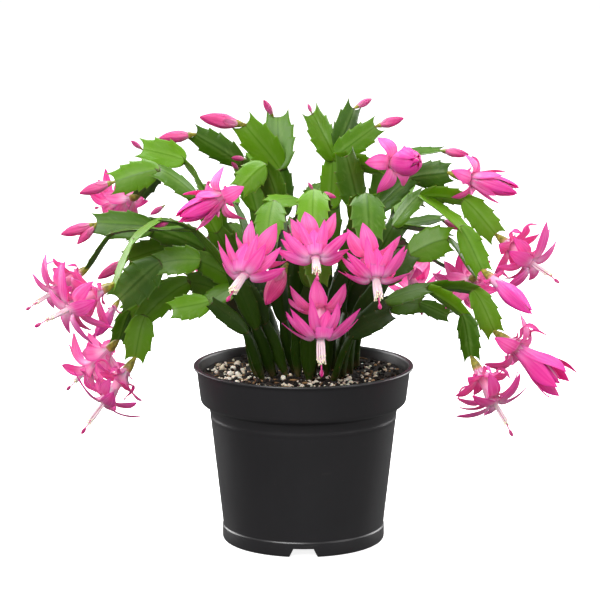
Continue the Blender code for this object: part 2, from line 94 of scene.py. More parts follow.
class Signal:
    """A number, colour or direction that runs through a material's nodes."""

    def __init__(self, recipe: "Recipe", socket: bpy.types.NodeSocket) -> None:
        """Wrap one output socket of a recipe."""
        self.recipe = recipe
        self.socket = socket

    def _math(self, operation: str, *values: Any) -> "Signal":
        """Add one Math node.

        Args:
            operation: the Math node's operation.
            values: its inputs in order, signals or numbers.

        Returns:
            The node's result.
        """
        made = self.recipe.node(
            "ShaderNodeMath", {"operation": operation}, dict(enumerate(values)))
        return Signal(self.recipe, made.outputs[0])

    def __add__(self, other: Any) -> "Signal":
        """The sum of this signal and another value."""
        return self._math("ADD", self, other)

    __radd__ = __add__

    def __sub__(self, other: Any) -> "Signal":
        """This signal less another value."""
        return self._math("SUBTRACT", self, other)

    def __rsub__(self, other: Any) -> "Signal":
        """Another value less this signal."""
        return self._math("SUBTRACT", other, self)

    def __mul__(self, other: Any) -> "Signal":
        """The product of this signal and another value."""
        return self._math("MULTIPLY", self, other)

    __rmul__ = __mul__

    def __abs__(self) -> "Signal":
        """The size of this signal without its sign."""
        return self._math("ABSOLUTE", self)

    def ease(self, low: float, high: float) -> "Signal":
        """A smooth step from 0 to 1 as the signal goes from low to high.

        Args:
            low: the value that gives 0.
            high: the value that gives 1.

        Returns:
            The smooth step.
        """
        made = self.recipe.node(
            "ShaderNodeMapRange", {"interpolation_type": "SMOOTHSTEP"},
            {"Value": self, "From Min": low, "From Max": high})
        return Signal(self.recipe, made.outputs[0])


class Recipe:
    """One material: a Principled shader and the nodes that feed it."""

    def __init__(self, name: str, **constants: Any) -> None:
        """Start a material.

        Args:
            name: the material's name.
            constants: Principled values that are the same all over, with _ for spaces.
        """
        self.material = bpy.data.materials.new(name)
        self.material.use_nodes = True
        self.tree = self.material.node_tree
        self.shader = self.tree.nodes["Principled BSDF"]
        for socket, value in constants.items():
            self.shader.inputs[socket.replace("_", " ")].default_value = value

    def node(self, kind: str, settings: dict[str, Any] | None = None,
             values: dict[Any, Any] | None = None) -> bpy.types.Node:
        """Add one node.

        Args:
            kind: the node's type.
            settings: its properties, set first.
            values: its inputs by name or number, as signals or plain values.

        Returns:
            The node.
        """
        made = self.tree.nodes.new(kind)
        for name, setting in (settings or {}).items():
            setattr(made, name, setting)
        for socket, value in (values or {}).items():
            self.join(value, made.inputs[socket])
        return made

    def join(self, value: Any, socket: bpy.types.NodeSocket) -> None:
        """Set a socket's value, or link it to a signal.

        Args:
            value: a signal or a plain value.
            socket: the input that takes it.
        """
        if isinstance(value, Signal):
            self.tree.links.new(value.socket, socket)
        else:
            socket.default_value = value

    def attribute(self, name: str) -> Signal:
        """A value that the mesh holds at each point."""
        made = self.node("ShaderNodeAttribute", {"attribute_name": name})
        return Signal(self, made.outputs["Fac"])

    def place(self, scale: Point = (1.0, 1.0, 1.0)) -> Signal:
        """The point's own place in metres, times a scale on each axis.

        Args:
            scale: the factors for X, Y and Z.

        Returns:
            The scaled place.
        """
        source = self.node("ShaderNodeTexCoord").outputs["Object"]
        made = self.node("ShaderNodeVectorMath", {"operation": "MULTIPLY"},
                         {0: Signal(self, source), 1: scale})
        return Signal(self, made.outputs[0])

    def grain(self, size: float, detail: float = 2.0, where: Signal | None = None,
              warp: float = 0.0) -> Signal:
        """Soft random variation between 0 and 1.

        Args:
            size: the size of its spots, in the units of where, or in millimetres.
            detail: the number of finer layers.
            where: the coordinates, or nothing for the point's own place.
            warp: how far the spots are pulled out of round.

        Returns:
            The variation.
        """
        scale = 1.0 / size if where else 1.0 / (size * MM)
        made = self.node("ShaderNodeTexNoise", None, {
            "Vector": where or self.place(), "Scale": scale, "Detail": detail,
            "Distortion": warp})
        return Signal(self, made.outputs[0])

    def specks(self, size: float) -> Signal:
        """The distance from the middle of the nearest of many cells, in cells.

        Args:
            size: the cells' size in millimetres.

        Returns:
            0 at a cell's middle and about 0.6 at its rim.
        """
        made = self.node("ShaderNodeTexVoronoi", None,
                         {"Vector": self.place(), "Scale": 1.0 / (size * MM)})
        return Signal(self, made.outputs["Distance"])

    def vector(self, x: Any, y: Any, z: Any = 0.0) -> Signal:
        """Three values joined as one vector."""
        return Signal(self, self.node("ShaderNodeCombineXYZ", None, {0: x, 1: y, 2: z}).outputs[0])

    def blend(self, amount: Any, low: Any, high: Any) -> Signal:
        """One colour turning into another.

        Args:
            amount: 0 for low and 1 for high.
            low: a colour or a colour signal.
            high: a colour or a colour signal.

        Returns:
            The mixed colour.
        """
        tones = [tone if isinstance(tone, Signal) else (*tone, 1.0) for tone in (low, high)]
        made = self.node("ShaderNodeMix", {"data_type": "RGBA"},
                         {0: amount, 6: tones[0], 7: tones[1]})
        return Signal(self, made.outputs[2])

    def relief(self, height: Signal, depth: float, strength: float = 1.0) -> None:
        """Raise the surface by a height signal, through a Bump node.

        Args:
            height: the signal.
            depth: the rise in millimetres where the signal is 1.
            strength: the share of the effect that shows.
        """
        made = self.node("ShaderNodeBump", None, {
            "Height": height, "Distance": depth * MM, "Strength": strength})
        self.tree.links.new(made.outputs[0], self.shader.inputs["Normal"])

    def finish(self, colour: Signal, roughness: Any) -> bpy.types.Material:
        """Feed the shader and hand over the material.

        Args:
            colour: the base colour.
            roughness: a signal or a number.

        Returns:
            The finished material.
        """
        self.join(colour, self.shader.inputs["Base Color"])
        self.join(roughness, self.shader.inputs["Roughness"])
        return self.material


@dataclass(frozen=True)
class PotPlastic:
    """Satin charcoal moulded plastic with faint flow marks, scuffs and dust."""

    dark: Colour = (0.0055, 0.0050, 0.0060)
    pale: Colour = (0.0110, 0.0102, 0.0120)
    dust: Colour = (0.085, 0.075, 0.062)
    flow_size: float = 60.0
    scuff_size: float = 9.0
    speck_size: float = 3.4
    grain_size: float = 0.5
    sheen: float = 0.85
    roughness: float = 0.30

    def make(self) -> bpy.types.Material:
        """Mix the material.

        Returns:
            The finished material.
        """
        recipe = Recipe("charcoal_plastic", Specular_IOR_Level=self.sheen)
        clouds = recipe.grain(self.flow_size, 4.0, warp=0.6)
        streaks = recipe.grain(1.0, 3.0, recipe.place((260.0, 260.0, 14.0)))
        colour = recipe.blend(clouds * 0.65 + streaks * 0.35, self.dark, self.pale)
        spots = recipe.specks(self.speck_size)
        specks = (1.0 - spots.ease(0.03, 0.09)) * recipe.grain(self.scuff_size).ease(0.56, 0.66)
        colour = recipe.blend(specks * 0.55, colour, self.dust)
        scratches = recipe.grain(1.0, 2.0, recipe.place((90.0, 90.0, 1100.0))).ease(0.64, 0.72)
        scuffs = scratches * recipe.grain(self.scuff_size * 2).ease(0.55, 0.7)
        colour = recipe.blend(scuffs * 0.18, colour, self.dust)
        fine = recipe.grain(self.grain_size)
        recipe.relief(clouds * 0.5 + fine * 0.12 + streaks * 0.12, 0.35, 0.55)
        return recipe.finish(
            colour, self.roughness + clouds * 0.10 + fine * 0.05 + scuffs * 0.15)


@dataclass(frozen=True)
class PottingMix:
    """Damp peat, nearly black, with brown fibres."""

    wet: Colour = (0.0022, 0.0014, 0.0009)
    dry: Colour = (0.022, 0.0105, 0.0050)
    fibre: Colour = (0.13, 0.072, 0.034)
    clod_size: float = 4.5
    crumb_size: float = 0.9
    sheen: float = 0.35
    roughness: float = 0.72

    def make(self) -> bpy.types.Material:
        """Mix the material.

        Returns:
            The finished material.
        """
        recipe = Recipe("potting_mix", Specular_IOR_Level=self.sheen)
        clods = recipe.grain(self.clod_size, 5.0)
        fine = recipe.grain(self.crumb_size, 3.0)
        colour = recipe.blend((clods * 0.6 + fine * 0.4).ease(0.42, 0.66), self.wet, self.dry)
        fibres = recipe.grain(1.0, 3.0, recipe.place((1300.0, 240.0, 240.0)), 1.5)
        colour = recipe.blend(fibres.ease(0.64, 0.72) * 0.6, colour, self.fibre)
        recipe.relief(clods * 0.7 + fine * 0.4, 1.6, 0.9)
        return recipe.finish(colour, self.roughness + fine * 0.25)


@dataclass(frozen=True)
class PerliteStone:
    """Puffed white mineral, stained cream by the soil."""

    white: Colour = (0.86, 0.82, 0.73)
    cream: Colour = (0.60, 0.47, 0.31)
    dirt: Colour = (0.075, 0.045, 0.024)
    patch_size: float = 2.4
    pit_size: float = 0.9
    dirt_size: float = 1.6
    glow: float = 0.12
    glow_depth: float = 0.0015
    roughness: float = 0.82

    def make(self) -> bpy.types.Material:
        """Mix the material.

        Returns:
            The finished material.
        """
        recipe = Recipe("perlite", Subsurface_Weight=self.glow, Subsurface_Scale=self.glow_depth)
        stain = recipe.attribute("tint")
        patches = recipe.grain(self.patch_size, 3.0)
        pits = recipe.specks(self.pit_size)
        colour = recipe.blend(stain * 0.7 + patches * 0.3, self.white, self.cream)
        soiled = recipe.grain(self.dirt_size, 3.0).ease(0.52, 0.70)
        colour = recipe.blend(soiled * 0.55, colour, self.dirt)
        recipe.relief(pits.ease(0.0, 0.5) + patches * 0.6, 0.5, 0.7)
        return recipe.finish(colour, self.roughness + patches * 0.15)


@dataclass(frozen=True)
class BarkChip:
    """Fine pine bark and wood fibre."""

    tan: Colour = (0.33, 0.19, 0.085)
    brown: Colour = (0.085, 0.040, 0.018)
    sheen: float = 0.3
    roughness: float = 0.75

    def make(self) -> bpy.types.Material:
        """Mix the material.

        Returns:
            The finished material.
        """
        recipe = Recipe("bark", Specular_IOR_Level=self.sheen)
        tint = recipe.attribute("tint")
        lines = recipe.grain(1.0, 4.0, recipe.place((300.0, 1300.0, 1300.0)), 0.6)
        colour = recipe.blend(lines * 0.5 + tint * 0.5, self.brown, self.tan)
        recipe.relief(lines, 0.6, 0.8)
        return recipe.finish(colour, self.roughness + lines * 0.2)


@dataclass(frozen=True)
class StemSkin:
    """Waxy green skin: bright when young, dark when old, corky at the joints."""

    deep: Colour = (0.025, 0.082, 0.001)
    bright: Colour = (0.112, 0.275, 0.003)
    pale: Colour = (0.235, 0.370, 0.090)
    old: Colour = (0.0085, 0.024, 0.0006)
    cork: Colour = (0.070, 0.045, 0.016)
    horn: Colour = (0.200, 0.075, 0.030)
    cloud_size: float = 9.0
    freckle_size: float = 1.6
    cork_size: float = 3.0
    pore_size: float = 0.7
    glow: float = 0.10
    glow_depth: float = 0.0016
    sheen: float = 0.25
    wax: float = 0.06
    wax_roughness: float = 0.25
    roughness: float = 0.31

    def make(self) -> bpy.types.Material:
        """Mix the material.

        Returns:
            The finished material.
        """
        recipe = Recipe(
            "stem_green", Subsurface_Weight=self.glow, Subsurface_Radius=(0.6, 1.0, 0.2),
            Subsurface_Scale=self.glow_depth, Specular_IOR_Level=self.sheen,
            Coat_Weight=self.wax, Coat_Roughness=self.wax_roughness)
        along, across = recipe.attribute("along"), abs(recipe.attribute("across"))
        tint, age = recipe.attribute("tint"), recipe.attribute("age")
        clouds = recipe.grain(self.cloud_size, 3.0, warp=0.5)
        slant = recipe.vector(along * 5.0, across * 3.0 - along * 5.0, tint * 40.0)
        veins = recipe.grain(1.0, 3.0, slant)
        colour = recipe.blend(tint.ease(0.05, 0.95) * 0.75 + clouds * 0.25, self.deep, self.bright)
        # Painted light: pale bands either side of the midrib and a pale highlight along the margins;
        # the pale vein streaks are the skin's own colour.
        side_light_bands = across.ease(0.03, 0.12) * (1.0 - across.ease(0.16, 0.42))
        rim_highlight = across.ease(0.90, 1.0)
        colour = recipe.blend(side_light_bands * 0.16 + rim_highlight * 0.22 + veins.ease(0.52, 0.74) * 0.14,
                              colour, self.pale)
        # Painted shade: a dark line down the midrib crease.
        colour = recipe.blend((1.0 - across.ease(0.0, 0.07)) * 0.35, colour, self.deep)
        colour = recipe.blend(age.ease(0.22, 0.85) * 0.92, colour, self.old)
        spots = recipe.specks(self.freckle_size).ease(0.06, 0.16)
        freckles = (1.0 - spots) * clouds.ease(0.50, 0.62)
        colour = recipe.blend(freckles * 0.30, colour, self.pale)
        tip = along.ease(0.975, 1.0) * (1.0 - across.ease(0.1, 0.3))
        joint = (1.0 - along.ease(0.0, 0.055)) + tip
        woody = recipe.attribute("wood") * recipe.grain(self.cork_size, 4.0).ease(0.35, 0.6)
        colour = recipe.blend(joint * 0.75, colour, self.cork)
        colour = recipe.blend(woody, colour, self.cork)
        colour = recipe.blend(recipe.attribute("tooth").ease(0.55, 1.0) * 0.55, colour, self.horn)
        pores = recipe.grain(self.pore_size)
        recipe.relief(veins * 0.8 + clouds * 0.5 + pores * 0.22, 0.45, 0.6)
        return recipe.finish(
            colour, self.roughness + clouds * 0.12 + pores * 0.08 + woody * 0.3)


@dataclass(frozen=True)
class PetalSkin:
    """Silky petal: white at the throat, hot pink over most, deeper at the tip, with painted shade in
    the crease.
    """

    name: str = "petal_pink"
    throat: Colour = (0.92, 0.62, 0.76)
    body: Colour = (0.87, 0.150, 0.465)
    deep: Colour = (0.74, 0.016, 0.28)
    soft: Colour = (0.87, 0.27, 0.47)
    cloud_size: float = 6.0
    glow: float = 0.40
    glow_depth: float = 0.0022
    sheen: float = 0.32
    roughness: float = 0.42

    def make(self) -> bpy.types.Material:
        """Mix the material.

        Returns:
            The finished material.
        """
        recipe = Recipe(
            self.name, Subsurface_Weight=self.glow, Subsurface_Radius=(1.0, 0.25, 0.5),
            Subsurface_Scale=self.glow_depth, Specular_IOR_Level=self.sheen)
        along, across = recipe.attribute("along"), abs(recipe.attribute("across"))
        tint, soft = recipe.attribute("tint"), recipe.attribute("soft")
        streaks = recipe.grain(1.0, 2.0, recipe.vector(across * 7.0, along * 1.1, tint * 50.0))
        clouds = recipe.grain(self.cloud_size)
        colour = recipe.blend(streaks.ease(0.36, 0.68) * 0.60 + clouds * 0.20, self.body, self.deep)
        colour = recipe.blend(soft, colour, self.soft)
        edge = across.ease(0.50, 1.0) * 0.50 + along.ease(0.66, 1.0) * 0.45
        colour = recipe.blend(edge, colour, self.deep)
        # Inner and closed petals turn deeper magenta towards their tips and lose the white throat:
        # partly their own deeper colour, partly painted shade inside the cups and buds.
        deep_tone_and_shade = recipe.attribute("deep_tone_and_shade")
        colour = recipe.blend(deep_tone_and_shade * along.ease(0.25, 0.70) * 0.70, colour, self.deep)
        light = (1.0 - along.ease(0.08, 0.54)) * (1.0 - deep_tone_and_shade)
        colour = recipe.blend(light * (0.90 - across * 0.70), colour, self.throat)
        # Painted shade: deeper magenta along each petal's midline crease, over its outer half.
        crease = (1.0 - across.ease(0.0, 0.10)) * along.ease(0.25, 0.5)
        colour = recipe.blend(crease * 0.45, colour, self.deep)
        recipe.relief(streaks * 0.9 + clouds * 0.3, 0.45, 0.8)
        return recipe.finish(colour, self.roughness + streaks * 0.14)


@dataclass(frozen=True)
class ReceptacleSkin:
    """The olive ovary under each bloom, flushed pink towards the petals."""

    olive: Colour = (0.33, 0.30, 0.030)
    shade: Colour = (0.145, 0.125, 0.018)
    flush: Colour = (0.78, 0.24, 0.26)
    cloud_size: float = 2.6
    glow: float = 0.12
    glow_depth: float = 0.0015
    roughness: float = 0.36

    def make(self) -> bpy.types.Material:
        """Mix the material.

        Returns:
            The finished material.
        """
        recipe = Recipe("receptacle_olive", Subsurface_Weight=self.glow,
                        Subsurface_Scale=self.glow_depth)
        along = recipe.attribute("along")
        clouds = recipe.grain(self.cloud_size, 3.0)
        colour = recipe.blend(clouds.ease(0.3, 0.7), self.shade, self.olive)
        colour = recipe.blend(along.ease(0.62, 1.0) * 0.8, colour, self.flush)
        recipe.relief(clouds, 0.3, 0.5)
        return recipe.finish(colour, self.roughness + clouds * 0.12)


@dataclass(frozen=True)
class StamenSilk:
    """White filaments with cream pollen at the tips."""

    white: Colour = (0.90, 0.68, 0.74)
    blush: Colour = (0.88, 0.34, 0.54)
    pollen: Colour = (0.90, 0.80, 0.58)
    grain_size: float = 0.35
    glow: float = 0.25
    glow_depth: float = 0.001
    roughness: float = 0.5

    def make(self) -> bpy.types.Material:
        """Mix the material.

        Returns:
            The finished material.
        """
        recipe = Recipe("stamen_cream", Subsurface_Weight=self.glow,
                        Subsurface_Scale=self.glow_depth)
        along, grains = recipe.attribute("along"), recipe.grain(self.grain_size)
        colour = recipe.blend(along.ease(0.0, 0.35), self.blush, self.white)
        colour = recipe.blend(recipe.attribute("tip"), colour, self.pollen)
        recipe.relief(grains, 0.15, 0.5)
        return recipe.finish(colour, self.roughness + grains * 0.3)


@dataclass(frozen=True)
class StyleSkin:
    """The magenta style and its sticky stigma."""

    magenta: Colour = (0.66, 0.010, 0.22)
    dark: Colour = (0.36, 0.004, 0.12)
    grain_size: float = 0.6
    glow: float = 0.1
    glow_depth: float = 0.001
    roughness: float = 0.30

    def make(self) -> bpy.types.Material:
        """Mix the material.

        Returns:
            The finished material.
        """
        recipe = Recipe("style_magenta", Subsurface_Weight=self.glow,
                        Subsurface_Scale=self.glow_depth)
        grains = recipe.grain(self.grain_size)
        colour = recipe.blend(grains * 0.5 + recipe.attribute("tip") * 0.5, self.magenta, self.dark)
        recipe.relief(grains, 0.15, 0.5)
        return recipe.finish(colour, self.roughness + grains * 0.2)


@dataclass(frozen=True)
class FloorPaper:
    """The pale paper that the plant is shown on."""

    white: Colour = (0.90, 0.90, 0.90)
    shade: Colour = (0.86, 0.86, 0.865)
    fibre_size: float = 3.0
    sheen: float = 0.2
    glow: float = 0.85
    roughness: float = 0.8

    def make(self) -> bpy.types.Material:
        """Mix the material.

        Returns:
            The finished material.
        """
        recipe = Recipe("floor_paper", Specular_IOR_Level=self.sheen,
                        Emission_Color=(1.0, 1.0, 1.0, 1.0), Emission_Strength=self.glow)
        fibres = recipe.grain(self.fibre_size, 3.0)
        colour = recipe.blend(fibres, self.shade, self.white)
        return recipe.finish(colour, self.roughness + fibres * 0.1)


def unit(rows: np.ndarray) -> np.ndarray:
    """Scale the vectors in an array's last axis to length 1."""
    return rows / np.maximum(np.linalg.norm(rows, axis=-1, keepdims=True), 1e-9)


def ease(values: np.ndarray, low: float, high: float) -> np.ndarray:
    """A smooth step from 0 at low to 1 at high.

    Args:
        values: the numbers to step.
        low: where the step starts.
        high: where the step ends.

    Returns:
        The stepped numbers.
    """
    share = np.clip((values - low) / (high - low), 0.0, 1.0)
    return share * share * (3.0 - 2.0 * share)


def smooth_path(knots: Sequence[Sequence[float]], count: int) -> np.ndarray:
    """Points spaced evenly along a smooth curve through the knots.

    Args:
        knots: the places that the curve goes through.
        count: how many points.

    Returns:
        The points, one a row.
    """
    rows = np.array(knots, float)
    rows = np.vstack([2 * rows[0] - rows[1], rows, 2 * rows[-1] - rows[-2]])
    share = np.linspace(0.0, 1.0, 14)[:, None]
    spans = []
    for before, start, end, after in zip(rows, rows[1:], rows[2:], rows[3:]):
        bend = 2 * before - 5 * start + 4 * end - after
        twist = 3 * start - before - 3 * end + after
        spans.append(start + share * (end - before) / 2 + share**2 * bend / 2 + share**3 * twist / 2)
    dense = np.vstack(spans)
    length = np.concatenate([[0.0], np.cumsum(np.linalg.norm(np.diff(dense, axis=0), axis=1))])
    even = np.linspace(0.0, length[-1], count)
    return np.stack([np.interp(even, length, column) for column in dense.T], axis=1)


class Shape:
    """Closed bodies and the values at their points, gathered for one piece."""

    def __init__(self, *value_names: str) -> None:
        """Start empty.

        Args:
            value_names: the values that every body gives at its points.
        """
        self.points: list[np.ndarray] = []
        self.faces: list[tuple[int, ...]] = []
        self.values: dict[str, list[np.ndarray]] = {name: [] for name in value_names}
        self.count = 0

    def add(self, points: np.ndarray, faces: Iterable[Sequence[int]],
            values: dict[str, Any]) -> None:
        """Add one closed body.

        Args:
            points: its points, one a row, in millimetres.
            faces: its faces as numbers of its own points; a repeated number is dropped.
            values: for each value name, a number or one number for each point.
        """
        for face in faces:
            corners = dict.fromkeys(int(corner) + self.count for corner in face)
            if len(corners) > 2:
                self.faces.append(tuple(corners))
        self.points.append(points)
        for name, rows in self.values.items():
            rows.append(np.broadcast_to(np.asarray(values.get(name, 0.0), float), len(points)))
        self.count += len(points)

    def blade(self, middle: np.ndarray, half: np.ndarray, values: dict[str, Any]) -> None:
        """Add a closed blade: a surface thickened to both sides, with its margins shared.

        Args:
            middle: the middle surface, stations by columns by 3.
            half: half the thickness at each point.
            values: for each value name, a number or an array of stations by columns.
        """
        stations, columns = middle.shape[:2]
        normal = unit(np.cross(np.gradient(middle, axis=0), np.gradient(middle, axis=1)))
        thick = normal * half[..., None]
        points = np.vstack([
            (middle + thick).reshape(-1, 3), (middle - thick)[:, 1:-1].reshape(-1, 3)])
        top = np.arange(stations * columns).reshape(stations, columns)
        under = top.copy()
        under[:, 1:-1] = stations * columns + np.arange(
            stations * (columns - 2)).reshape(stations, columns - 2)
        faces = []
        for row in range(stations - 1):
            for column in range(columns - 1):
                faces.append((top[row, column], top[row + 1, column],
                              top[row + 1, column + 1], top[row, column + 1]))
                faces.append((under[row, column], under[row, column + 1],
                              under[row + 1, column + 1], under[row + 1, column]))
        for column in range(columns - 1):
            faces.append((top[0, column], top[0, column + 1],
                          under[0, column + 1], under[0, column]))
            faces.append((top[-1, column + 1], top[-1, column],
                          under[-1, column], under[-1, column + 1]))
        spread = {}
        for name, value in values.items():
            grid = np.broadcast_to(np.asarray(value, float), (stations, columns))
            spread[name] = np.concatenate([grid.ravel(), grid[:, 1:-1].ravel()])
        self.add(points, faces, spread)

    def tube(self, path: np.ndarray, radii: np.ndarray, sides: int,
             values: dict[str, Any]) -> None:
        """Add a closed round body along a path.

        Args:
            path: its centre line, one point a row.
            radii: a radius for each station, or stations by sides of them.
            sides: how many points go round it.
            values: for each value name, a number or one number for each station.
        """
        along = unit(np.gradient(path, axis=0))
        guide = np.eye(3)[np.argmin(np.abs(along.mean(axis=0)))]
        across = unit(np.cross(along, guide))
        up = np.cross(along, across)
        turns = np.arange(sides) * math.tau / sides
        round_about = (across[:, None] * np.cos(turns)[None, :, None]
                       + up[:, None] * np.sin(turns)[None, :, None])
        radii = np.broadcast_to(radii.reshape(len(path), -1), (len(path), sides))
        rings = path[:, None] + round_about * radii[..., None]
        points = np.vstack([rings.reshape(-1, 3), path[:1], path[-1:]])
        number = np.arange(len(path) * sides).reshape(len(path), sides)
        first, last = len(points) - 2, len(points) - 1
        faces = []
        for side in range(sides):
            following = (side + 1) % sides
            for low, high in zip(number, number[1:]):
                faces.append((low[side], low[following], high[following], high[side]))
            faces.append((first, number[0, following], number[0, side]))
            faces.append((last, number[-1, side], number[-1, following]))
        spread = {}
        for name, value in values.items():
            stations = np.broadcast_to(np.asarray(value, float), len(path))
            spread[name] = np.concatenate([np.repeat(stations, sides), stations[[0, -1]]])
        self.add(points, faces, spread)

    def lump(self, centre: np.ndarray, radii: Point, turn: Matrix, rough: float,
             values: dict[str, Any], fineness: int = 2) -> None:
        """Add a closed irregular lump.

        Args:
            centre: its middle.
            radii: its half sizes.
            turn: how it lies.
            rough: how far its surface strays, as a share of its size.
            values: for each value name, a number.
            fineness: how finely it is divided.
        """
        ball = bmesh.new()
        bmesh.ops.create_icosphere(ball, subdivisions=fineness, radius=1.0)
        shift = Vector(centre.tolist())
        points = []
        for corner in ball.verts:
            bump = 1.0 + rough * noise.noise(corner.co * 1.7 + shift)
            bump += rough * 0.5 * noise.noise(corner.co * 4.1 - shift)
            grown = Vector(a * b * bump for a, b in zip(corner.co, radii))
            points.append(turn @ grown + shift)
        faces = [[corner.index for corner in face.verts] for face in ball.faces]
        ball.free()
        self.add(np.array(points), faces, values)

    def piece(self, name: str, finish: bpy.types.Material, slot: Slot,
              crease: float = 50.0) -> bpy.types.Object:
        """Make the gathered bodies one piece of the plant.

        Args:
            name: the piece's name.
            finish: its material.
            slot: not used.
            crease: faces that meet at more than this angle in degrees keep a sharp edge.

        Returns:
            The new object, riding on the plant's body.
        """
        mesh = bpy.data.meshes.new(name)
        mesh.from_pydata((np.vstack(self.points) * MM).tolist(), [], self.faces)
        for value_name, rows in self.values.items():
            layer = mesh.attributes.new(value_name, "FLOAT", "POINT")
            layer.data.foreach_set("value", np.concatenate(rows).astype(np.float32))
        return dress(name, mesh, finish, crease)


def dress(name: str, mesh: bpy.types.Mesh, finish: bpy.types.Material,
          crease: float) -> bpy.types.Object:
    """Turn a finished mesh into a piece of the plant.

    Args:
        name: the piece's name.
        mesh: its mesh, in place.
        finish: its material.
        crease: faces that meet at more than this angle in degrees keep a sharp edge.

    Returns:
        The new object, riding on the plant's body.
    """
    mesh.shade_smooth()
    mesh.set_sharp_from_angle(angle=math.radians(crease))
    mesh.materials.clear()
    mesh.materials.append(finish)
    item = bpy.data.objects.new(name, mesh)
    bpy.context.scene.collection.objects.link(item)
    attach(item, BODY)
    LOG.info("%s: %d faces", name, len(mesh.polygons))
    return item


def check_fit(node: str, places: Iterable[Sequence[float]], slack: float = 1.5) -> None:
    """Stop if a piece's own places aren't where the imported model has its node.

    Args:
        node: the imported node.
        places: points in millimetres that the node must hold.
        slack: how far outside the node's box a point may lie, in millimetres.
    """
    low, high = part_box(node)
    for place in places:
        for value, least, most in zip(place, low, high):
            if not least / MM - slack <= value <= most / MM + slack:
                raise ValueError(f"{node} has a point {place} outside its node")


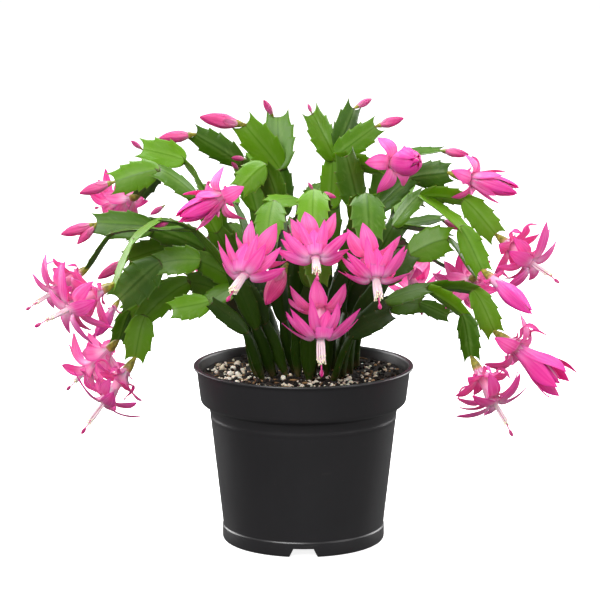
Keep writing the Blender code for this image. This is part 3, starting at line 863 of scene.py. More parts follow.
@dataclass
class NurseryPot:
    """The round pot: a turned shell with a deep collar and a notched foot."""

    finish: bpy.types.Material
    height: float = 125.0
    lip_radius: float = 77.5
    lip_thickness: float = 1.6
    collar_top: float = 75.3
    collar_bottom: float = 72.5
    collar_height: float = 25.7
    step_height: float = 4.0
    body_top: float = 66.3
    body_bottom: float = 56.9
    ring_drop: float = 7.0
    ring_proud: float = 0.3
    foot_radius: float = 57.4
    foot_height: float = 10.0
    foot_width: float = 5.0
    wall: float = 1.3
    floor_underside: float = 7.0
    floor_top: float = 8.6
    pad_radius: float = 15.0
    notches: int = 3
    drains: int = 6
    notch_widths: tuple[float, float] = (14.0, 21.0)
    notch_height: float = 6.2
    drain_radius: float = 4.5
    drain_circle: float = 42.0
    turn_steps: int = 144

    def inner_corners(self) -> list[tuple[float, float, float]]:
        """Lay out the inside, from the floor's middle to the lip.

        Returns:
            The radius, height and rounding of each corner.
        """
        step_top = self.height - self.collar_height
        step_foot = step_top - self.step_height
        return [
            (0.0, self.floor_top, 0.0),
            (self.body_bottom - 2 * self.wall, self.floor_top, 1.2),
            (self.body_bottom - self.wall, self.floor_top + self.wall, 1.0),
            (self.body_top - self.wall, step_foot + self.wall, 2.0),
            (self.collar_bottom - self.wall, step_top + self.wall, 2.5),
            (self.collar_top - self.wall, self.height - 1.0, 2.0),
            (self.collar_top - self.wall + 0.4, self.height, 0.4),
        ]

    def outer_corners(self) -> list[tuple[float, float, float]]:
        """Lay out the outside, from the lip down and under.

        Returns:
            The radius, height and rounding of each corner.
        """
        step_top = self.height - self.collar_height
        step_foot = step_top - self.step_height
        slope = (self.body_top - self.body_bottom) / (step_foot - self.foot_height)
        ring = step_foot - self.ring_drop
        ring_radius = self.body_top - self.ring_drop * slope
        lip_foot = self.height - self.lip_thickness
        return [
            (self.lip_radius, self.height, 0.7),
            (self.lip_radius, lip_foot, 0.6),
            (self.collar_top + 0.1, lip_foot - 0.3, 0.5),
            (self.collar_bottom, step_top, 2.2),
            (self.body_top + 0.6, step_foot + 0.6, 2.4),
            (ring_radius + 0.2, ring + 2.2, 0.9),
            (ring_radius + self.ring_proud, ring, 1.0),
            (ring_radius - 0.2, ring - 2.2, 0.9),
            (self.body_bottom, self.foot_height + 0.8, 0.8),
            (self.foot_radius, self.foot_height, 0.8),
            (self.foot_radius, 0.0, 3.0),
            (self.foot_radius - self.foot_width, 0.0, 0.8),
            (self.foot_radius - self.foot_width - 1.0, self.floor_underside, 0.8),
            (self.pad_radius + 3.0, self.floor_underside, 0.8),
            (self.pad_radius, 0.0, 0.8),
            (0.0, 0.0, 0.0),
        ]

    @staticmethod
    def rounded(corners: list[tuple[float, float, float]], steps: int = 4) -> list[Vector]:
        """Replace each corner of an outline by a small arc.

        Args:
            corners: radius, height and rounding of each corner.
            steps: how many spans each arc has.

        Returns:
            The outline's points.
        """
        outline = [Vector(corners[0][:2])]
        for before, here, after in zip(corners, corners[1:], corners[2:]):
            corner = Vector(here[:2])
            back, ahead = Vector(before[:2]) - corner, Vector(after[:2]) - corner
            reach = min(here[2], back.length * 0.45, ahead.length * 0.45)
            start, end = corner + back.normalized() * reach, corner + ahead.normalized() * reach
            for step in range(steps + 1):
                share = step / steps
                first, second = start.lerp(corner, share), corner.lerp(end, share)
                outline.append(first.lerp(second, share))
        outline.append(Vector(corners[-1][:2]))
        return outline

    def shell(self) -> bpy.types.Object:
        """Turn the outline into the plain shell.

        Returns:
            The shell as a scratch object with a Screw modifier.
        """
        outline = self.rounded(self.inner_corners() + self.outer_corners())
        mesh = bpy.data.meshes.new("pot_outline")
        edges = [(number, number + 1) for number in range(len(outline) - 1)]
        mesh.from_pydata([(p.x * MM, 0.0, p.y * MM) for p in outline], edges, [])
        item = bpy.data.objects.new("pot_shell", mesh)
        bpy.context.scene.collection.objects.link(item)
        screw = item.modifiers.new("turn", "SCREW")
        screw.steps = screw.render_steps = self.turn_steps
        screw.use_merge_vertices = True
        screw.merge_threshold = 0.02 * MM
        return item

    @staticmethod
    def turned(count: int) -> list[Matrix]:
        """Even turns about the pot's axis, the first one at the front."""
        return [Matrix.Rotation(-math.pi / 2 + number * math.tau / count, 4, "Z")
                for number in range(count)]

    def cutters(self) -> bpy.types.Object:
        """One scratch object that holds every notch and drain hole to cut.

        Returns:
            The cutters, joined.
        """
        top, bottom = self.notch_widths
        bars = bmesh.new()
        for turn in self.turned(self.notches):
            bar = bmesh.ops.create_cube(bars, size=1.0)["verts"]
            for corner in bar:
                width = top if corner.co.z > 0 else bottom
                corner.co.x = (self.foot_radius + math.copysign(12.0, corner.co.x)) * MM
                corner.co.y = math.copysign(width / 2, corner.co.y) * MM
                corner.co.z = self.notch_height * MM if corner.co.z > 0 else -MM
            bmesh.ops.transform(bars, matrix=turn, verts=bar)
        for turn in self.turned(self.drains):
            place = turn @ Matrix.Translation((self.drain_circle * MM, 0.0, self.floor_top * MM))
            bmesh.ops.create_cone(
                bars, cap_ends=True, segments=32, radius1=self.drain_radius * MM,
                radius2=self.drain_radius * MM, depth=6.0 * MM, matrix=place)
        mesh = bpy.data.meshes.new("pot_cutters")
        bars.to_mesh(mesh)
        bars.free()
        item = bpy.data.objects.new("pot_cutters", mesh)
        bpy.context.scene.collection.objects.link(item)
        return item

    def build(self) -> None:
        """Cut the foot and the floor, and put the pot in the model's place."""
        shell, cutters = self.shell(), self.cutters()
        cut = shell.modifiers.new("cut", "BOOLEAN")
        cut.operation = "DIFFERENCE"
        cut.object = cutters
        cut.solver = "EXACT"
        bpy.context.view_layer.update()
        graph = bpy.context.evaluated_depsgraph_get()
        mesh = bpy.data.meshes.new_from_object(shell.evaluated_get(graph))
        for scratch in (shell, cutters):
            bpy.data.objects.remove(scratch, do_unlink=True)
        mesh.name = "nursery_pot"
        piece = dress("nursery_pot", mesh, self.finish, 38.0)
        check_fit("pot", [(self.lip_radius, 0.0, self.height), (0.0, -self.foot_radius, 0.0)])
        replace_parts(piece, "pot")


@dataclass
class SoilBed:
    """The potting mix with its crumbs, perlite and bark."""

    soil: bpy.types.Material
    perlite: bpy.types.Material
    bark: bpy.types.Material
    top: float = 118.0
    top_radius: float = 73.0
    swell: float = 1.7
    rings: int = 34
    spokes: int = 120
    wall_points: Path = ((70.9, 100.9), (64.7, 96.9), (55.3, 10.2), (54.0, 8.9))
    grains: int = 300
    chips: int = 110
    crumbs: int = 460
    scatter_radius: float = 70.0
    rim_gap: float = 3.0
    perlite_clustered: float = 0.72
    bark_clustered: float = 0.1
    clusters: tuple[tuple[float, float, float, float], ...] = (
        (-53.0, 18.0, 18.0, 0.30), (-44.0, -16.0, 16.0, 0.20), (10.0, -34.0, 18.0, 0.15),
        (38.0, -26.0, 15.0, 0.13), (50.0, 14.0, 18.0, 0.12), (-16.0, -42.0, 16.0, 0.10))

    def level(self, x: float, y: float) -> float:
        """The height of the soil's surface at a place."""
        lumps = noise.fractal(Vector((x, y, 3.0)) * 0.085, 0.8, 2.2, 4)
        return self.top + self.swell * lumps - 0.2

    def circle(self, radius: float) -> list[tuple[float, float]]:
        """Places evenly round a circle about the pot's axis."""
        turns = [math.tau * spoke / self.spokes for spoke in range(self.spokes)]
        return [(radius * math.cos(turn), radius * math.sin(turn)) for turn in turns]

    def build_plug(self) -> None:
        """The body of the mix, with an uneven top, filling the pot to its floor."""
        rows: list[list[Point]] = []
        for number in range(1, self.rings + 1):
            circle = self.circle(self.top_radius * number / self.rings)
            rows.append([(x, y, self.level(x, y)) for x, y in circle])
        for radius, height in self.wall_points:
            rows.append([(x, y, height) for x, y in self.circle(radius)])
        points = [point for row in rows for point in row]
        middle, under = len(points), len(points) + 1
        points += [(0.0, 0.0, self.level(0.0, 0.0)), (0.0, 0.0, self.wall_points[-1][1])]
        faces: list[tuple[int, ...]] = []
        for spoke in range(self.spokes):
            following = (spoke + 1) % self.spokes
            faces.append((middle, spoke, following))
            last = (len(rows) - 1) * self.spokes
            faces.append((under, last + following, last + spoke))
            for row in range(len(rows) - 1):
                near, far = row * self.spokes, (row + 1) * self.spokes
                faces.append((near + spoke, far + spoke, far + following, near + following))
        plug = Shape()
        plug.add(np.array(points), faces, {})
        piece = plug.piece("soil_bed", self.soil, Slot.SOIL, 70.0)
        check_fit("soil", [(0.0, 0.0, self.top), (self.wall_points[2][0], 0.0, 12.0)])
        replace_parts(piece, "soil")

    def spot(self, rng: random.Random, clustered: float) -> tuple[float, float]:
        """A random place on the soil.

        Args:
            rng: the source of chance.
            clustered: the share of places that fall in the clusters.

        Returns:
            x and y in millimetres.
        """
        while True:
            if rng.random() < clustered:
                weights = [cluster[3] for cluster in self.clusters]
                x0, y0, spread, _ = rng.choices(self.clusters, weights)[0]
                x, y = rng.gauss(x0, spread * 0.6), rng.gauss(y0, spread * 0.6)
            else:
                turn = rng.uniform(0, math.tau)
                radius = self.scatter_radius * math.sqrt(rng.random())
                x, y = radius * math.cos(turn), radius * math.sin(turn)
            if math.hypot(x, y) < self.top_radius - self.rim_gap:
                return x, y

    @staticmethod
    def any_turn(rng: random.Random, tilt: float) -> Matrix:
        """A random turn about Z after a tilt of up to so many radians."""
        return (Matrix.Rotation(rng.uniform(0, math.tau), 3, "Z")
                @ Matrix.Rotation(rng.uniform(-tilt, tilt), 3, "X"))

    def build_loose(self) -> None:
        """Scatter the crumbs, the perlite and the bark over the top."""
        rng = random.Random(SOIL_SEED)
        perlite, bark, crumbs = Shape("tint"), Shape("tint"), Shape()
        for _ in range(self.grains):
            x, y = self.spot(rng, self.perlite_clustered)
            size = min(0.70 + rng.expovariate(2.0), 2.4)
            radii = (size, size * rng.uniform(0.8, 1.0), size * rng.uniform(0.7, 0.95))
            centre = np.array((x, y, self.level(x, y) + size * rng.uniform(-0.1, 0.45)))
            perlite.lump(centre, radii, self.any_turn(rng, 1.5), 0.36, {"tint": rng.random()})
        for _ in range(self.chips):
            x, y = self.spot(rng, self.bark_clustered)
            length = rng.uniform(1.2, 4.2)
            radii = (length, length * rng.uniform(0.16, 0.34), rng.uniform(0.35, 0.9))
            centre = np.array((x, y, self.level(x, y) + rng.uniform(0.1, 1.0)))
            bark.lump(centre, radii, self.any_turn(rng, 0.5), 0.5, {"tint": rng.random()})
        for _ in range(self.crumbs):
            x, y = self.spot(rng, 0.0)
            size = rng.uniform(0.7, 2.3)
            radii = (size, size * rng.uniform(0.6, 1.0), size * rng.uniform(0.5, 0.9))
            centre = np.array((x, y, self.level(x, y) + size * 0.2))
            crumbs.lump(centre, radii, self.any_turn(rng, 1.5), 0.9, {})
        perlite.piece("perlite_grains", self.perlite, Slot.PERLITE, 80.0)
        bark.piece("bark_chips", self.bark, Slot.BARK, 60.0)
        crumbs.piece("soil_crumbs", self.soil, Slot.SOIL, 80.0)

    def build(self) -> None:
        """The plug and what lies loose on it."""
        self.build_plug()
        self.build_loose()


# Each stem's joints from the soil up, then for each segment its width and its twist, the angle
# between its broad side and the level, about the segment's own line.
STEMS: dict[str, tuple[list[Point], list[float], list[float]]] = {
    "left_high": (
        [(-13, 33, 118), (-29, 26, 153), (-43, 32, 188), (-58, 38, 218), (-71, 40, 243),
         (-85, 40, 264), (-114, 40, 272)],
        [11, 15, 18, 18, 18, 21], [60, 80, 70, 60, 20, -50]),
    "left_upper": (
        [(-22, 19, 118), (-33, 10, 155), (-46, 6, 190), (-61, 2, 220), (-76, 0, 245),
         (-101, -2, 263), (-131, -2, 255)],
        [11, 16, 18, 18, 20, 20], [60, 80, 70, 60, -40, -60]),
    "left_mid": (
        [(-28, 7, 118), (-38, 0, 155), (-53, 4, 183), (-70, 6, 207), (-106, 8, 221),
         (-145, 8, 224)],
        [11, 16, 18, 21, 20], [60, 70, 60, 75, -70]),
    "left_arch": (
        [(-20, -7, 118), (-33, -31, 158), (-48, -44, 196), (-74, -46, 228), (-97, -54, 236),
         (-115, -59, 223), (-128, -62, 194)],
        [11, 16, 18, 18, 18, 17], [50, 40, 20, 0, 0, 0]),
    "left_bud": (
        [(-28, 25, 118), (-39, 18, 155), (-58, 22, 178), (-71, 24, 197), (-98, 26, 204),
         (-124, 26, 196)],
        [11, 16, 18, 20, 19], [60, 70, 70, 75, 75]),
    "left_wide": (
        [(-11, -5, 118), (-27, -18, 159), (-44, -23, 187), (-72, -28, 204), (-99, -30, 202),
         (-127, -30, 177)],
        [11, 16, 19, 20, 24], [60, 60, 70, -70, -75]),
    "left_low": (
        [(-32, -5, 118), (-39, -14, 151), (-57, -9, 179), (-80, -10, 186), (-111, -10, 161),
         (-118, -10, 132)],
        [11, 16, 19, 20, 19], [60, 70, 70, 80, 85]),
    "left_dark": (
        [(-28, -17, 118), (-40, -38, 156), (-63, -44, 177)], [10, 13], [70, -80]),
    "top_left": (
        [(-4, 37, 118), (-13, 42, 152), (-23, 50, 189), (-33, 54, 227), (-45, 56, 260),
         (-77, 56, 281)],
        [11, 17, 19, 19, 18], [70, 70, 80, 80, 80]),
    "front_left": (
        [(-6, 7, 118), (-14, -6, 158), (-18, -12, 198), (-16, -18, 236), (-27, -26, 269),
         (-43, -38, 256)],
        [11, 16, 18, 18, 18], [70, 60, 50, 40, -50]),
    "top_pair": (
        [(2, 29, 118), (-8, 24, 156), (-12, 26, 194), (-14, 28, 227), (-17, 28, 260),
         (-41, 20, 292)],
        [11, 17, 18, 17, 22], [60, 80, 80, 10, 85]),
    "top_fan": (
        [(11, 21, 118), (10, 12, 156), (15, 10, 196), (19, 10, 235), (21, 10, 270)],
        [11, 17, 18, 17], [60, 80, 85, -15]),
    "mid_dark": (
        [(20, 11, 118), (21, -2, 159), (30, -6, 199), (37, -12, 238), (29, -18, 275)],
        [11, 17, 19, 22], [60, 80, 85, 88]),
    "front_a": (
        [(-4, -5, 118), (-4, -20, 163), (-2, -28, 203), (1, -38, 245), (-20, -64, 249),
         (-24, -86, 229)],
        [11, 17, 19, 20, 20], [20, 10, 10, -20, 0]),
    "front_b": (
        [(7, -7, 118), (5, -26, 163), (9, -36, 202), (11, -46, 240), (7, -66, 257),
         (6, -86, 236)],
        [11, 17, 18, 19, 21], [10, 0, 0, 0, 0]),
    "front_c": (
        [(16, -3, 118), (18, -20, 161), (29, -30, 198), (37, -40, 233), (42, -62, 254),
         (44, -84, 230)],
        [11, 17, 18, 19, 22], [10, 0, 0, 0, 0]),
    "front_d": (
        [(4, -20, 118), (3, -42, 158), (5, -54, 191), (8, -64, 219), (10, -78, 197)],
        [13, 17, 18, 17], [0, 0, 0, 0]),
    "right_top": (
        [(22, 25, 118), (30, 20, 159), (42, 24, 194), (52, 26, 231), (65, 28, 268),
         (96, 28, 273)],
        [11, 17, 18, 18, 17], [60, 80, 80, 70, 5]),
    "right_upper": (
        [(29, 15, 118), (34, 4, 160), (51, 2, 198), (64, 0, 224), (82, -2, 245),
         (112, -2, 242), (134, -2, 218)],
        [11, 17, 18, 18, 17, 18], [60, 70, 60, 40, -60, 80]),
    "right_mid": (
        [(32, 3, 118), (37, -8, 157), (57, -10, 186), (75, -12, 206), (101, -12, 216),
         (120, -8, 190)],
        [11, 16, 18, 22, 12], [60, 60, 60, 80, 20]),
    "right_bud": (
        [(26, 31, 118), (35, 30, 160), (53, 32, 193), (70, 30, 219), (97, 30, 224)],
        [11, 16, 17, 17], [60, 70, 50, 10]),
    "right_low": (
        [(26, -9, 118), (34, -24, 151), (58, -30, 175), (86, -32, 185), (117, -30, 183),
         (132, -28, 154)],
        [11, 16, 17, 16, 17], [60, 60, 30, -40, 80]),
    "right_leaf": (
        [(37, 21, 118), (41, 16, 148), (60, 13, 165), (83, 10, 166), (102, 8, 158)],
        [11, 16, 17, 12], [60, 50, 60, 60]),
    "right_dark": (
        [(20, -19, 118), (33, -38, 153), (60, -46, 170)], [11, 15], [70, 80]),
    "back_left": (
        [(-15, 41, 118), (-26, 54, 156), (-38, 78, 192), (-54, 106, 208), (-66, 136, 190)],
        [11, 17, 19, 19], [0, 10, 0, 0]),
    "back_mid": (
        [(4, 45, 118), (4, 58, 158), (2, 84, 194), (-4, 114, 210), (-6, 146, 196)],
        [11, 17, 19, 20], [0, 0, 0, 0]),
    "back_right": (
        [(19, 39, 118), (30, 54, 156), (44, 78, 190), (62, 104, 202), (76, 130, 182)],
        [11, 17, 19, 19], [0, -10, 0, 0]),
}

# Side branches: the stem and the number of the joint that each one forks from, its further
# joints, and the widths and twists of its segments.
BRANCHES: tuple[tuple[str, int, list[Point], list[float], list[float]], ...] = (
    ("left_upper", 5, [(-115, 22, 242)], [14], [40]),
    ("left_arch", 3, [(-106, -22, 225), (-133, -12, 220), (-149, -6, 196)],
     [18, 17, 16], [0, 0, 0]),
    ("left_wide", 2, [(-66, -37, 176), (-90, -42, 172)], [17, 18], [-30, -60]),
    ("left_low", 3, [(-107, 10, 171), (-124, 14, 160), (-131, 14, 140)],
     [17, 17, 16], [60, 70, 50]),
    ("top_pair", 4, [(-18, 41, 295)], [22], [-15]),
    ("top_fan", 4, [(6, 0, 302)], [20], [88]),
    ("top_fan", 4, [(35, 24, 303)], [20], [90]),
    ("top_fan", 4, [(50, 2, 293)], [17], [88]),
    ("top_fan", 4, [(51, -6, 266)], [19], [-50]),
    ("right_top", 3, [(77, 12, 256), (101, 8, 260)], [18, 18], [70, 80]),
    ("right_upper", 4, [(109, -24, 226), (123, -32, 198)], [17, 16], [0, 70]),
    ("right_bud", 3, [(101, 14, 217)], [17], [-20]),
    ("right_low", 3, [(110, -46, 169), (115, -50, 141)], [18, 18], [-60, 85]),
    ("back_left", 2, [(-72, 86, 196), (-102, 92, 178)], [18, 18], [0, 0]),
    ("back_left", 2, [(-50, 80, 227), (-66, 104, 231), (-78, 130, 212)],
     [17, 18, 19], [0, 0, 0]),
    ("back_mid", 2, [(8, 92, 229), (14, 117, 236), (20, 142, 220)],
     [17, 18, 19], [0, 0, 0]),
    ("back_mid", 1, [(-22, 64, 190), (-26, 82, 222), (-30, 98, 250), (-36, 122, 258)],
     [15, 17, 18, 17], [75, 20, 0, 0]),
    ("back_mid", 3, [(-30, 130, 197)], [17], [0]),
    ("back_left", 1, [(-52, 62, 186), (-62, 68, 222), (-74, 90, 240)],
     [15, 17, 18], [70, 60, 20]),
    ("back_right", 1, [(58, 58, 188), (66, 66, 222), (78, 86, 244)],
     [15, 17, 18], [-70, -60, -20]),
    ("back_right", 2, [(52, 84, 225), (68, 104, 233), (84, 126, 220)],
     [17, 18, 19], [0, 0, 0]),
    ("back_right", 2, [(78, 84, 194), (106, 90, 178)], [18, 18], [0, 0]),
)

# Blooms: the kind, the end of the stem that each one grows from and its own far end.
BLOOMS: dict[str, tuple[Kind, Point, Point]] = {
    "flower_front_a": (Kind.OPEN, (-24, -86, 229), (-50, -133, 194)),
    "flower_front_b": (Kind.OPEN, (6, -86, 236), (9, -139, 209)),
    "flower_front_c": (Kind.OPEN, (44, -84, 230), (50, -129, 188)),
    "flower_front_d": (Kind.OPEN, (10, -78, 197), (12, -110, 139)),
    "flower_left_outer": (Kind.OPEN, (-149, -6, 196), (-191, -36, 170)),
    "flower_left_arch": (Kind.OPEN, (-128, -62, 194), (-179, -98, 170)),
    "flower_left_low_back": (Kind.OPEN, (-131, 14, 140), (-170, 38, 97)),
    "flower_left_low": (Kind.OPEN, (-118, -10, 132), (-154, -30, 81)),
    "flower_left_hidden": (Kind.OPEN, (-115, 22, 242), (-150, 60, 226)),
    "flower_right_outer": (Kind.OPEN, (134, -2, 218), (175, -39, 189)),
    "flower_right_hidden": (Kind.OPEN, (120, -8, 190), (111, 42, 166)),
    "flower_right_low": (Kind.OPEN, (115, -50, 141), (141, -80, 91)),
    "flower_back_left": (Kind.OPEN, (-66, 136, 190), (-78, 164, 138)),
    "flower_back_mid": (Kind.OPEN, (-6, 146, 196), (-8, 176, 144)),
    "flower_back_right": (Kind.OPEN, (76, 130, 182), (90, 154, 130)),
    "flower_half_top_left": (Kind.HALF, (-43, -38, 256), (-84, -72, 240)),
    "flower_half_top_right": (Kind.HALF, (51, -6, 266), (80, -44, 276)),
    "flower_half_right_upper": (Kind.HALF, (101, 8, 260), (148, -11, 250)),
    "flower_half_right_mid": (Kind.HALF, (123, -32, 198), (154, -68, 175)),
    "flower_half_right_low": (Kind.HALF, (132, -28, 154), (177, -56, 123)),
    "flower_half_left": (Kind.HALF, (-127, -30, 177), (-142, -54, 155)),
    "bud_left_upper": (Kind.BUD, (-131, -2, 255), (-155, -10, 248)),
    "bud_left_mid": (Kind.BUD, (-145, 8, 224), (-169, -3, 218)),
    "bud_left_low": (Kind.BUD, (-124, 26, 196), (-146, 23, 182)),
    "bud_top_left": (Kind.BUD, (-77, 56, 281), (-103, 47, 279)),
    "bud_top_pair_long": (Kind.BUD, (-41, 20, 292), (-72, 8, 299)),
    "bud_top_pair_short": (Kind.BUD, (-21, 40, 295), (-28, 34, 308)),
    "bud_top_fan_mid": (Kind.BUD, (35, 24, 303), (48, 32, 309)),
    "bud_top_fan_right": (Kind.BUD, (50, 2, 293), (69, -8, 300)),
    "bud_right_top": (Kind.BUD, (96, 28, 273), (116, 20, 271)),
    "bud_right_dark": (Kind.BUD, (97, 30, 224), (111, 20, 218)),
}


@dataclass
class Segment:
    """One flat segment of a stem: narrow at its foot, toothed, with a horned blunt tip."""

    start: np.ndarray
    end: np.ndarray
    leaving: np.ndarray
    arriving: np.ndarray
    side: np.ndarray
    width: float
    age: float
    rooted: bool = False
    tooth_size: float = 1.9
    tooth_lean: float = 0.8
    tooth_back: float = 0.17
    tooth_front: float = 0.014
    three_teeth_width: float = 16.5
    three_teeth_share: float = 0.75
    horn_reach: float = 3.8
    overlap: float = 1.4
    half_thickness: float = 0.95
    rib_rise: float = 0.55
    rib_width: float = 1.5
    usual_width: float = 20.0

    COLUMNS = (-1.0, -0.93, -0.78, -0.52, -0.26, -0.10, 0.0, 0.10, 0.26, 0.52, 0.78, 0.93, 1.0)

    def margin(self, share: np.ndarray, teeth: list[float], crown: float,
               tip: float) -> tuple[np.ndarray, np.ndarray]:
        """The half width along one side.

        Args:
            share: stations from 0 at the foot to 1 at the tip.
            teeth: where this side's teeth point, as shares of the length.
            crown: the share of the length where the segment is widest.
            tip: the width at the tip as a share of the greatest width.

        Returns:
            The half width at each station, and how far each one is on a tooth.
        """
        rise = np.clip(share / crown, 0.0, 1.0) ** (1.0 if self.rooted else 0.52)
        fall = np.clip((share - crown - 0.1) / (0.9 - crown), 0.0, 1.0) ** 2
        body = (0.15 + 0.85 * np.sin(rise * math.pi / 2)) * (1.0 - (1.0 - tip) * fall)
        tooth = np.zeros_like(share)
        for place in teeth + [1.0]:
            before = np.clip(1.0 + (share - place) / self.tooth_back, 0.0, 1.0) ** 2.0
            after = np.clip(1.0 - (share - place) / self.tooth_front, 0.0, 1.0)
            tooth = np.maximum(tooth, np.where(share <= place, before, after))
        youth = 1.0 - 0.65 * self.age
        reach = self.tooth_size * self.width / self.usual_width * youth
        return self.width / 2 * body + reach * tooth, tooth

    @property
    def length(self) -> float:
        """The straight distance from joint to joint."""
        return float(np.linalg.norm(self.end - self.start))

    def tooth_places(self, rng: random.Random) -> list[list[float]]:
        """Choose where the teeth of both margins stand.

        Args:
            rng: the source of chance.

        Returns:
            The teeth's places along the segment, for each margin.
        """
        three = self.width > self.three_teeth_width and rng.random() < self.three_teeth_share
        spaced = [0.34, 0.58, 0.80] if three else [0.45, 0.74]
        return [[place + rng.uniform(-0.035, 0.035) for place in spaced] for _ in range(2)]

    def axes(self, share: np.ndarray, rng: random.Random) -> tuple[np.ndarray, ...]:
        """Bend the segment's middle line from joint to joint.

        Args:
            share: the rows' places along the segment.
            rng: the source of chance.

        Returns:
            Each row's middle, and its directions along, across and facing.
        """
        foot = self.start - self.leaving * (0.0 if self.rooted else self.overlap)
        t, length = share[:, None], self.length
        centre = ((2 * t**3 - 3 * t**2 + 1) * foot + (t**3 - 2 * t**2 + t) * length * self.leaving
                  + (3 * t**2 - 2 * t**3) * self.end + (t**3 - t**2) * length * self.arriving)
        along = unit(np.gradient(centre, share, axis=0))
        across = unit(self.side - along * (along @ self.side)[:, None])
        facing = np.cross(along, across)
        sway = rng.uniform(-0.16, 0.16) * np.sin(share * math.pi)[:, None]
        across = unit(across + facing * sway)
        return centre, along, across, np.cross(along, across)

    @staticmethod
    def relief(share: np.ndarray, breadth: np.ndarray, column: np.ndarray,
               rng: random.Random) -> np.ndarray:
        """Fold, cup, wave and curl the blade.

        Args:
            share: the rows' places along the segment.
            breadth: half the blade's width at every point.
            column: the columns' places from margin to margin, -1 to 1.
            rng: the source of chance.

        Returns:
            How far each point rises off the flat.
        """
        outer = np.abs(column)
        fold = rng.uniform(0.02, 0.10) * rng.choice((-1, 1, 1))
        cup = rng.uniform(-0.06, 0.16)
        wave = rng.uniform(0.25, 0.75) * np.sin(
            share * rng.uniform(5.0, 9.0) + rng.uniform(0, math.tau))
        curl = rng.uniform(-0.4, 0.4) * share**2
        return (breadth * (fold * outer + cup * outer**2)
                + np.outer(wave * np.sin(share * math.pi), column * outer)
                + np.outer(curl, outer**2))

    def grow(self, shape: Shape, rng: random.Random) -> None:
        """Add this segment to its stem.

        Args:
            shape: the stem's shape.
            rng: the source of chance.
        """
        sides = self.tooth_places(rng)
        near = [place + step for teeth in sides for place in teeth for step in (-0.05, 0.0, 0.015)]
        share = np.unique(np.concatenate([
            (0.0, 0.03, 0.07, 0.12, 0.19, 0.27), np.linspace(0.35, 0.9, 7), (0.95, 0.985, 1.0),
            near]).round(4))
        crown, tip = rng.uniform(0.44, 0.56), rng.uniform(0.50, 0.62)
        left, left_tooth = self.margin(share, sides[0], crown, tip)
        right, right_tooth = self.margin(share, sides[1], crown, tip)
        column = np.array(self.COLUMNS)
        outer = np.abs(column)
        plain, _ = self.margin(share, [], crown, tip)
        breadth = np.where(column < 0, left[:, None], right[:, None])
        breadth = plain[:, None] + (breadth - plain[:, None]) * outer**3
        tooth = np.where(column < 0, left_tooth[:, None], right_tooth[:, None]) * outer**6

        centre, along, across, facing = self.axes(share, rng)
        youth = 1.0 - 0.5 * self.age
        scale = self.width / self.usual_width * youth
        horn = self.horn_reach * scale * np.clip((share - 0.86) / 0.14, 0.0, 1.0) ** 1.5
        push = (np.outer(0.03 * self.length * share, outer**1.7) + np.outer(horn, outer**4)
                + self.tooth_lean * scale * tooth)
        lift = self.relief(share, breadth, column, rng)
        middle = (centre[:, None] + across[:, None] * (breadth * column)[..., None]
                  + along[:, None] * push[..., None]
                  + facing[:, None] * lift[..., None])
        core = self.half_thickness + 0.9 * self.age**2 + 0.35 * (1.0 - ease(share, 0.0, 0.25))
        core = core * (1.0 - 0.45 * ease(share, 0.90, 1.0))
        ridge = np.exp(-((breadth * column) / self.rib_width) ** 2)
        rib = self.rib_rise * ridge * (1.0 - 0.55 * share[:, None])
        rounding = np.sqrt(np.clip(1.0 - outer**3.2, 0.0, 1.0))
        half = core[:, None] * rounding + rib * (outer < 1.0)
        wood = 0.0
        if self.rooted:
            wood = 1.0 - ease(centre[:, 2:], self.start[2] + 3.0, self.start[2] + 15.0)
        shape.blade(middle, half, {
            "along": share[:, None], "across": column, "tint": rng.random(), "age": self.age,
            "tooth": tooth, "wood": wood})


